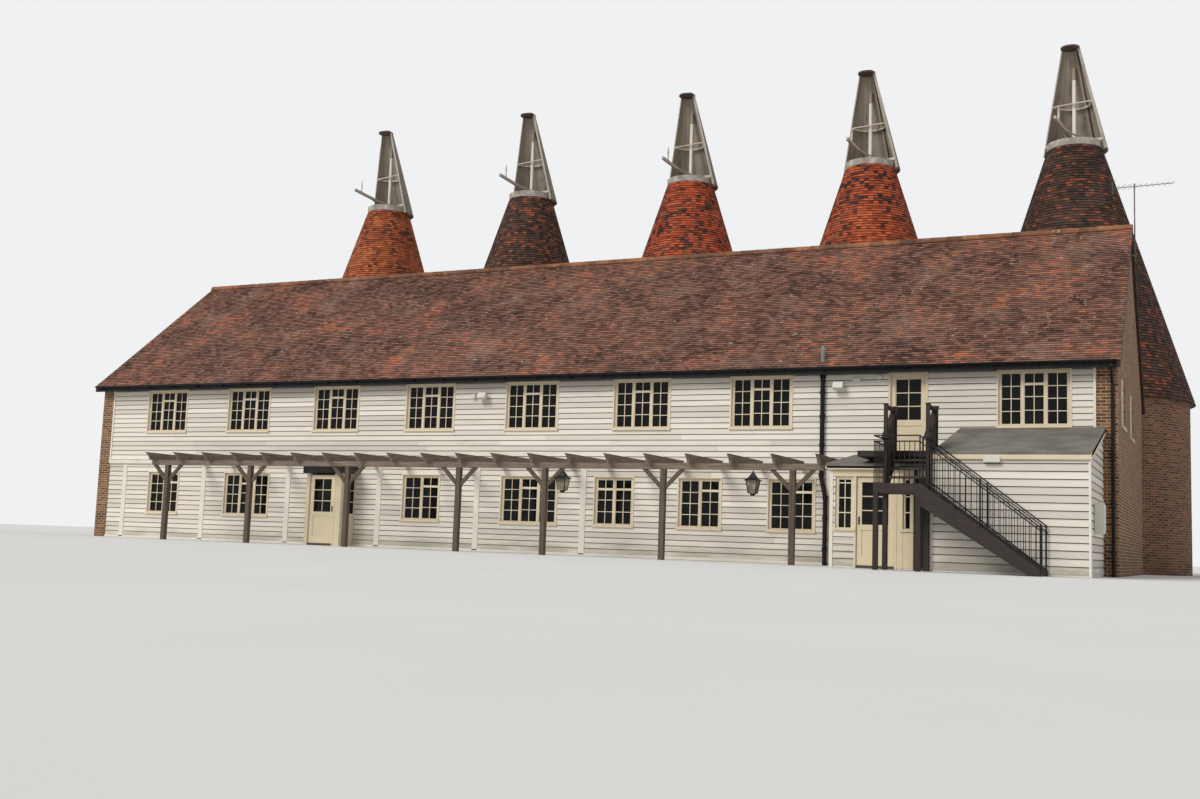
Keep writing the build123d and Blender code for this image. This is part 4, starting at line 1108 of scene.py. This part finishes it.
def doors():
    """The hinged leaves' dressing, the upper door, and the frames round the doors."""
    for name, ends, front, knob, glazed, inner_knob in (
        ("porch_door", between(5.314, 4.488), PORCH_FRONT, 5.26, True, True),
        ("store_door", between(3.96, 3.486), PORCH_FRONT, 3.54, False, True),
        ("left_porch_door", between(21.87, 21.036), LEFT_PORCH_FRONT, 21.09, True, False),
    ):
        door_dressing(name, ends, front + 0.044, along(knob), glazed, inner_knob)
    left, right = around(along(UPPER_DOOR[0]), UPPER_DOOR[1] / 2)
    inner = (left + 0.11, right - 0.11)
    glass = [box(inner, (FRONT + 0.058, FRONT + 0.082), (3.541, 4.559), 0)]
    piece("upper_door_glass", glass, window_dark)
    bars = glazing_bars(inner, (3.54, 4.56), FRONT + 0.037, 2, DOOR_PANES, 0.018, 0.022, 0.02)
    bars += moulding(inner, (FRONT + 0.023, FRONT + 0.037), (2.86, 3.43))
    for edge in (left - 0.05, right):
        bars.append(box((edge, edge + 0.05), proud(FRONT, 0.03), (2.62, 4.72), 0.004))
    bars.append(box((left - 0.05, right + 0.05), proud(FRONT, 0.032), (4.67, 4.74), 0.004))
    piece("upper_door_bars", bars, cream)
    surround = []
    for far, near, front in ((5.32, 4.46, PORCH_FRONT), (21.9, 21.03, LEFT_PORCH_FRONT)):
        for ends in (between(far + 0.05, far), between(near, near - 0.05)):
            surround.append(box(ends, proud(front, 0.02), (0.0, 2.06)))
    surround.append(box(between(5.37, 4.03), proud(PORCH_FRONT, 0.024), (2.04, 2.1)))
    for edge in (along(4.32), along(4.08)):
        surround.append(box((edge, edge + 0.04), proud(PORCH_FRONT, 0.02), (0.0, 2.04)))
    surround.append(box(between(4.41, 4.32), proud(PORCH_FRONT, 0.012), (0.03, 2.04), 0.002))
    surround.append(box(between(4.28, 4.08), proud(PORCH_FRONT, 0.012), (0.03, 0.83), 0.002))
    piece("door_surrounds", surround, cream)
    post = box(between(4.03, 3.96), proud(PORCH_FRONT, 0.07), (0, 2.19), 0.004)
    piece("porch_post", [post], dark_upright)


def left_porch():
    """Small-paned sides of the left porch, its jambs, and the bare dark board over its door."""
    near, far = LEFT_PORCH_FRONT + 0.06, LOWER_FACE - 0.04
    parts, glass = [], []
    for x, turn, corner in ((LEFT_PORCH[0], -1, far), (LEFT_PORCH[1], 1, near)):
        bars = glazing_bars((0, far - near), (0.9, 1.98), -0.02, 2, DOOR_PANES, 0.04, 0.024, 0.02)
        parts += moved(bars, standing(x, corner, turn * math.pi / 2))
        glass.append(box(around(x, 0.004), (near, far), (0.92, 1.96), 0.001))
        parts.append(box(sorted((x, x + 0.018 * turn)), (near, far), (0.06, 0.86), 0.004))
    piece("left_porch_bars", parts, cream)
    piece("left_porch_glass", glass, window_dark)
    jambs = [
        box(ends, proud(LEFT_PORCH_FRONT, 0.012), (0.04, 2.1), 0.002)
        for ends in (between(22.02, 21.95), between(20.98, 20.78))
    ]
    piece("left_porch_jambs", jambs, cream)
    board = box(between(22.1, 20.7), proud(LEFT_PORCH_FRONT, 0.105, -0.09), (2.1, 2.29), 0.004)
    piece("left_porch_board", [board], black)


# Rainwater goods and small fittings


def pipes():
    """Collars and top of the soil pipe, the downpipe, and the gutter's brackets and board."""
    x, y = along(6.8), FRONT - 0.08
    collars = [(z, 0.11) for z in (0.35, 1.1, 1.6)] + [(z, 0.0) for z in (2.15, 2.9, 3.6, 4.2, 4.6)]
    parts = []
    for z, shift in collars:
        parts.append(upright(x + shift, y, z, z + 0.075, 0.068))
        parts.append(upright(x + shift, y, z + 0.075, z + 0.095, 0.072, 20, 0.058))
    piece("soil_pipe_collars", parts, black_iron)
    parts = [upright(x, y, 4.7, 5.41, 0.0565)]
    parts += [upright(x, y, z, z + 0.05, 0.066) for z in (4.95, 5.3)]
    piece("soil_pipe_top", parts, grey_pipe)
    x, y = along(0.11), FRONT - 0.06
    gutter_y, gutter_z = -ROOF_REACH - 0.06, EAVES - 0.07
    parts = [
        upright(x, y, 0.0, 4.35, 0.038, 16),
        rod((x, y, 4.33), (x, gutter_y, gutter_z - 0.05), 0.036, 16),
        upright(x, gutter_y, gutter_z - 0.09, gutter_z - 0.03, 0.046, 16),
    ]
    for z in (0.5, 1.6, 2.7, 3.8):
        parts.append(upright(x, y, z, z + 0.05, 0.047, 16))
        parts.append(box(around(x, 0.06), proud(FRONT, 0.03), (z + 0.01, z + 0.04)))
    piece("downpipe", parts, black_iron)
    bracket = box((-0.012, 0.012), proud(-ROOF_REACH, 0.13), (EAVES - 0.1, EAVES - 0.068))
    brackets = copies(bracket, [standing(n - 15.2, 0) for n in range(31)])
    board = box((-RIGHT, RIGHT), proud(-ROOF_REACH, 0.006), (EAVES - 0.18, EAVES), 0.002)
    piece("gutter_brackets", [*brackets, board], black_iron)


def four_sided(x, y, foot, head, wide, narrow):
    """A four-sided taper whose sides are square to the wall."""
    made = taper(4, wide, narrow, head - foot, (x, y, (foot + head) / 2))
    made.rotation_euler.z = math.pi / 4
    return settle(made)


def lantern_parts(x, y, top):
    """A four-sided hanging lantern: glass body, iron frame, hood, loop and foot."""
    glass = four_sided(x, y, top - 0.56, top - 0.26, 0.12, 0.18)
    irons = []
    for turn in range(4):
        angle = math.pi / 4 + turn * math.pi / 2
        low, high = [
            (x + out * math.cos(angle), y + out * math.sin(angle), z)
            for out, z in ((0.122, top - 0.56), (0.183, top - 0.26))
        ]
        irons.append(stick(low, high, 0.018, 0.018, 0.002))
    for wide, narrow, foot, head in ((0.27, 0.15, 0.26, 0.205), (0.152, 0.035, 0.206, 0.07)):
        hood = four_sided(x, y, top - foot, top - head, wide, narrow)
        shape(hood, "BEVEL", width=0.006, segments=2, limit_method="ANGLE")
        irons.append(hood)
    irons += [
        upright(x, y, top - 0.08, top - 0.03, 0.03, 12, 0.012),
        upright(x, y, top - 0.04, top + 0.03, 0.007, 8),
        upright(x, y, top - 0.61, top - 0.56, 0.04, 12, 0.085),
    ]
    return glass, irons


def lanterns():
    """The two lanterns that hang from the pergola."""
    glasses, irons = [], []
    for distance in (12.88, 7.86):
        glass, parts = lantern_parts(along(distance), PERGOLA_Y - 0.02, 2.19)
        glasses.append(glass)
        irons += parts
    piece("lantern_glass", glasses, lamp_glass)
    piece("lantern_frames", irons, black_iron)


def wall_lights():
    """Two tilted lamps on their brackets, and plain light boxes."""
    parts = []
    for x, z in ((-1.02, 4.3), (9.11, 4.38)):
        parts.append(box(around(x, 0.07), proud(FRONT, 0.05, -0.015), (z + 0.05, z + 0.13), 0.008))
        head = box((-0.13, 0.13), (-0.1, 0.03), (-0.09, 0.09), 0.012)
        tilt = Matrix.Rotation(math.radians(-25), 4, "X")
        parts += moved([head], Matrix.Translation((x, FRONT - 0.13, z)) @ tilt)
        parts.append(rod((x, FRONT - 0.06, z + 0.09), (x, FRONT - 0.12, z + 0.03), 0.014, 8))
    for x, z, width, height in ((9.55, 4.55, 0.2, 0.09), (10.1, 4.6, 0.14, 0.1), (-1.35, 4.32, 0.1, 0.14)):
        depth = proud(FRONT, 0.09, -0.012)
        parts.append(box(around(x, width / 2), depth, around(z, height / 2), 0.008))
    parts.append(box(between(2.38, 2.04), proud(LEANTO_FRONT, 0.11, -0.015), (2.29, 2.43), 0.012))
    piece("wall_lights", parts, light_box)


def aerial():
    """The mast at the right gable with its brackets, boom, rods and rear frame."""
    x, y = 15.62, 0.1
    parts = [upright(x, y, 8.2, 10.28, 0.018, 10)]
    for z in (8.32, 8.72):
        parts.append(box((RIGHT, x + 0.02), around(y, 0.02), (z, z + 0.06), 0.004))
    boom = Vector((0.901, 0.433, 0.13))
    across = Vector((-0.433, 0.901, 0))
    centre = Vector((x, y, 10.2))
    parts.append(stick(centre - boom * 0.6, centre + boom * 1.05, 0.016, 0.016))
    for n in range(11):
        spot = centre + boom * (-0.5 + 0.15 * n)
        half = across * (0.3 - 0.014 * n)
        parts.append(rod(spot - half, spot + half, 0.005, 6))
    rear, up = centre - boom * 0.58, Vector((0, 0, 0.16))
    for edge in (rear - up, rear + up):
        parts.append(rod(edge - across * 0.25, edge + across * 0.25, 0.005, 6))
    parts.append(rod(rear - up, rear + up, 0.007, 6))
    piece("aerial", parts, steel)


def meter_box():
    """The cabinet on the lean-to's right side, and its door."""
    wall = LEANTO_RIGHT
    cabinet = box((wall + 0.02, wall + 0.2), (-7.3, -6.85), (0.9, 1.55), 0.01)
    door = box((wall + 0.2, wall + 0.215), (-7.27, -6.88), (0.94, 1.51), 0.006)
    piece("meter_box", [cabinet, door], light_box)


def stair_details():
    """Nosings, caps on the guards and their posts, and the flight's rails and bars."""
    steps, going = 9, 0.264
    head = along(3.48)
    nosings = []
    for n in range(1, steps):
        x, top = head + n * going, LANDING - n * LANDING / steps
        depth = (FRONT - 4.4, FRONT - 3.55)
        nosings.append(box((x - 0.02, x + 0.012), depth, (top - 0.042, top + 0.003), 0.004))
    piece("tread_nosings", nosings, tread_timber)
    caps = []
    for x in (along(4.45) + 0.0375, head - 0.0375):
        caps.append(stick((x, FRONT - 3.68, 2.79), (x, FRONT - 2.66, 3.56), 0.035, 0.13, 0.006))
        for y, z in ((FRONT - 3.5375, 3.52), (FRONT - 2.6525, 3.55)):
            caps.append(box(around(x, 0.05), around(y, 0.05), (z, z + 0.03), 0.006))
    piece("guard_caps", caps, dark_upright)
    far, near = FRONT - 3.53, FRONT - 4.437
    run = steps * going
    rails = []
    for y, height in ((far, 0.99), (far, 0.87), (far, 0.1), (near, 0.1)):
        rails.append(rod((head, y, LANDING + height), (head + run, y, height), 0.013, 8))
    for share in (0.02, 0.5, 0.985):
        x, base = head + run * share, LANDING * (1 - share)
        rails += [upright(x, y, base, base + 1.0, 0.018, 10) for y in (far, near)]
    bars = 21
    for n in range(1, bars + 1):
        share = n / (bars + 1)
        x, base = head + run * share, LANDING * (1 - share)
        rails.append(upright(x, far, base, base + 0.88, 0.007, 6))
    piece("stair_handrails", rails, black_iron)


# The finish of each piece of the frame itself
NODE_LOOKS = (
    (slab, "ground_floor"),
    (floor_boards, "upper_floor"),
    (plain_white, "front_wall_upper front_wall_lower door_lintels porch_sides porch_fronts"),
    (plain_white, "leanto_front_wall leanto_side_walls"),
    (house_brick, "rear_wall gable_walls"),
    (kiln_brick, "kiln_walls"),
    (under_tiles, "roof_front roof_rear kiln_roof_1 kiln_roof_2 kiln_roof_3 kiln_roof_4 kiln_roof_5"),
    (ridge_clay, "ridge_tiles"),
    (black_iron, "gutters soil_pipe stair_railings"),
    (cream, "upper_window_frames lower_window_frames upper_door porch_door left_porch_door"),
    (window_dark, "upper_window_glass lower_window_glass"),
    (black, "store_door left_porch_roof"),
    (grey_felt, "porch_roof leanto_roof"),
    (tread_timber, "thresholds stair_treads"),
    (dark_timber, "stair_landings stair_stringers footstep_beams"),
    (dark_upright, "stair_posts"),
    (dark_guard, "stair_guards"),
    (pergola_upright, "pergola_posts"),
    (pergola_timber, "pergola_beam"),
    (rafter_timber, "pergola_rafters"),
    (kiln_curb, "cowl_curbs"),
    (cowl_outside, "cowl_1 cowl_2 cowl_3 cowl_4 cowl_5"),
)
for look, names in NODE_LOOKS:
    for name in names.split():
        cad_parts[name].data.materials.clear()
        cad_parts[name].data.materials.append(look)

roof_slope("front_tiles", 0, 10)
roof_slope("rear_tiles", math.pi, 11)
ridge_caps()
kiln_cones()
cowls()
front_wall_boards()
porch_and_leanto_boards()
fascias()
windows()
doors()
left_porch()
pipes()
lanterns()
wall_lights()
aerial()
meter_box()
stair_details()


# Floor, light and camera


def floor_look():
    look = Look("floor_pale", 0.9, 0.1)
    soft = look.cloud(3.0, 3.0, 0.5)
    return look.finish(look.mix(soft, (214, 213, 210), (222, 221, 218)))


floor = settle(fresh(bpy.ops.mesh.primitive_plane_add, size=400, location=(0, 60, -0.004)))
floor.name = "floor"
floor.data.materials.append(floor_look())

# The sky that is seen is greyer than the sky that lights the building
world = bpy.data.worlds.new("studio")
bpy.context.scene.world = world
world.use_nodes = True
nodes, links = world.node_tree.nodes, world.node_tree.links
nodes.clear()
output = nodes.new("ShaderNodeOutputWorld")
path = nodes.new("ShaderNodeLightPath")
seen = nodes.new("ShaderNodeBackground")
seen.inputs["Color"].default_value = (0.87, 0.88, 0.89, 1)
lamp = nodes.new("ShaderNodeBackground")
lamp.inputs["Color"].default_value = (0.95, 0.97, 1.0, 1)
lamp.inputs["Strength"].default_value = 0.62
blend = nodes.new("ShaderNodeMixShader")
links.new(path.outputs["Is Camera Ray"], blend.inputs[0])
links.new(lamp.outputs[0], blend.inputs[1])
links.new(seen.outputs[0], blend.inputs[2])
links.new(blend.outputs[0], output.inputs[0])

bpy.ops.object.light_add(type="SUN", rotation=(math.radians(50), 0, math.radians(-28)))
sun = bpy.context.object
sun.name = "soft_sun"
sun.data.energy = 1.9
sun.data.angle = math.radians(24)
sun.data.color = (1.0, 0.975, 0.94)

camera_data = bpy.data.cameras.new("camera")
camera_data.sensor_width = 36
camera_data.lens = 38.955
camera_data.clip_end = 500
camera = bpy.data.objects.new("camera", camera_data)
bpy.context.scene.collection.objects.link(camera)
camera.matrix_world = (
    Matrix.Translation((17.571, -36.011, 0.335))
    @ Matrix.Rotation(math.radians(25.6826), 4, "Z")
    @ Matrix.Rotation(math.radians(90 + 6.3286), 4, "X")
    @ Matrix.Rotation(math.radians(2.0525), 4, "Z")
)
bpy.context.scene.camera = camera
bpy.context.scene.view_settings.view_transform = "Standard"
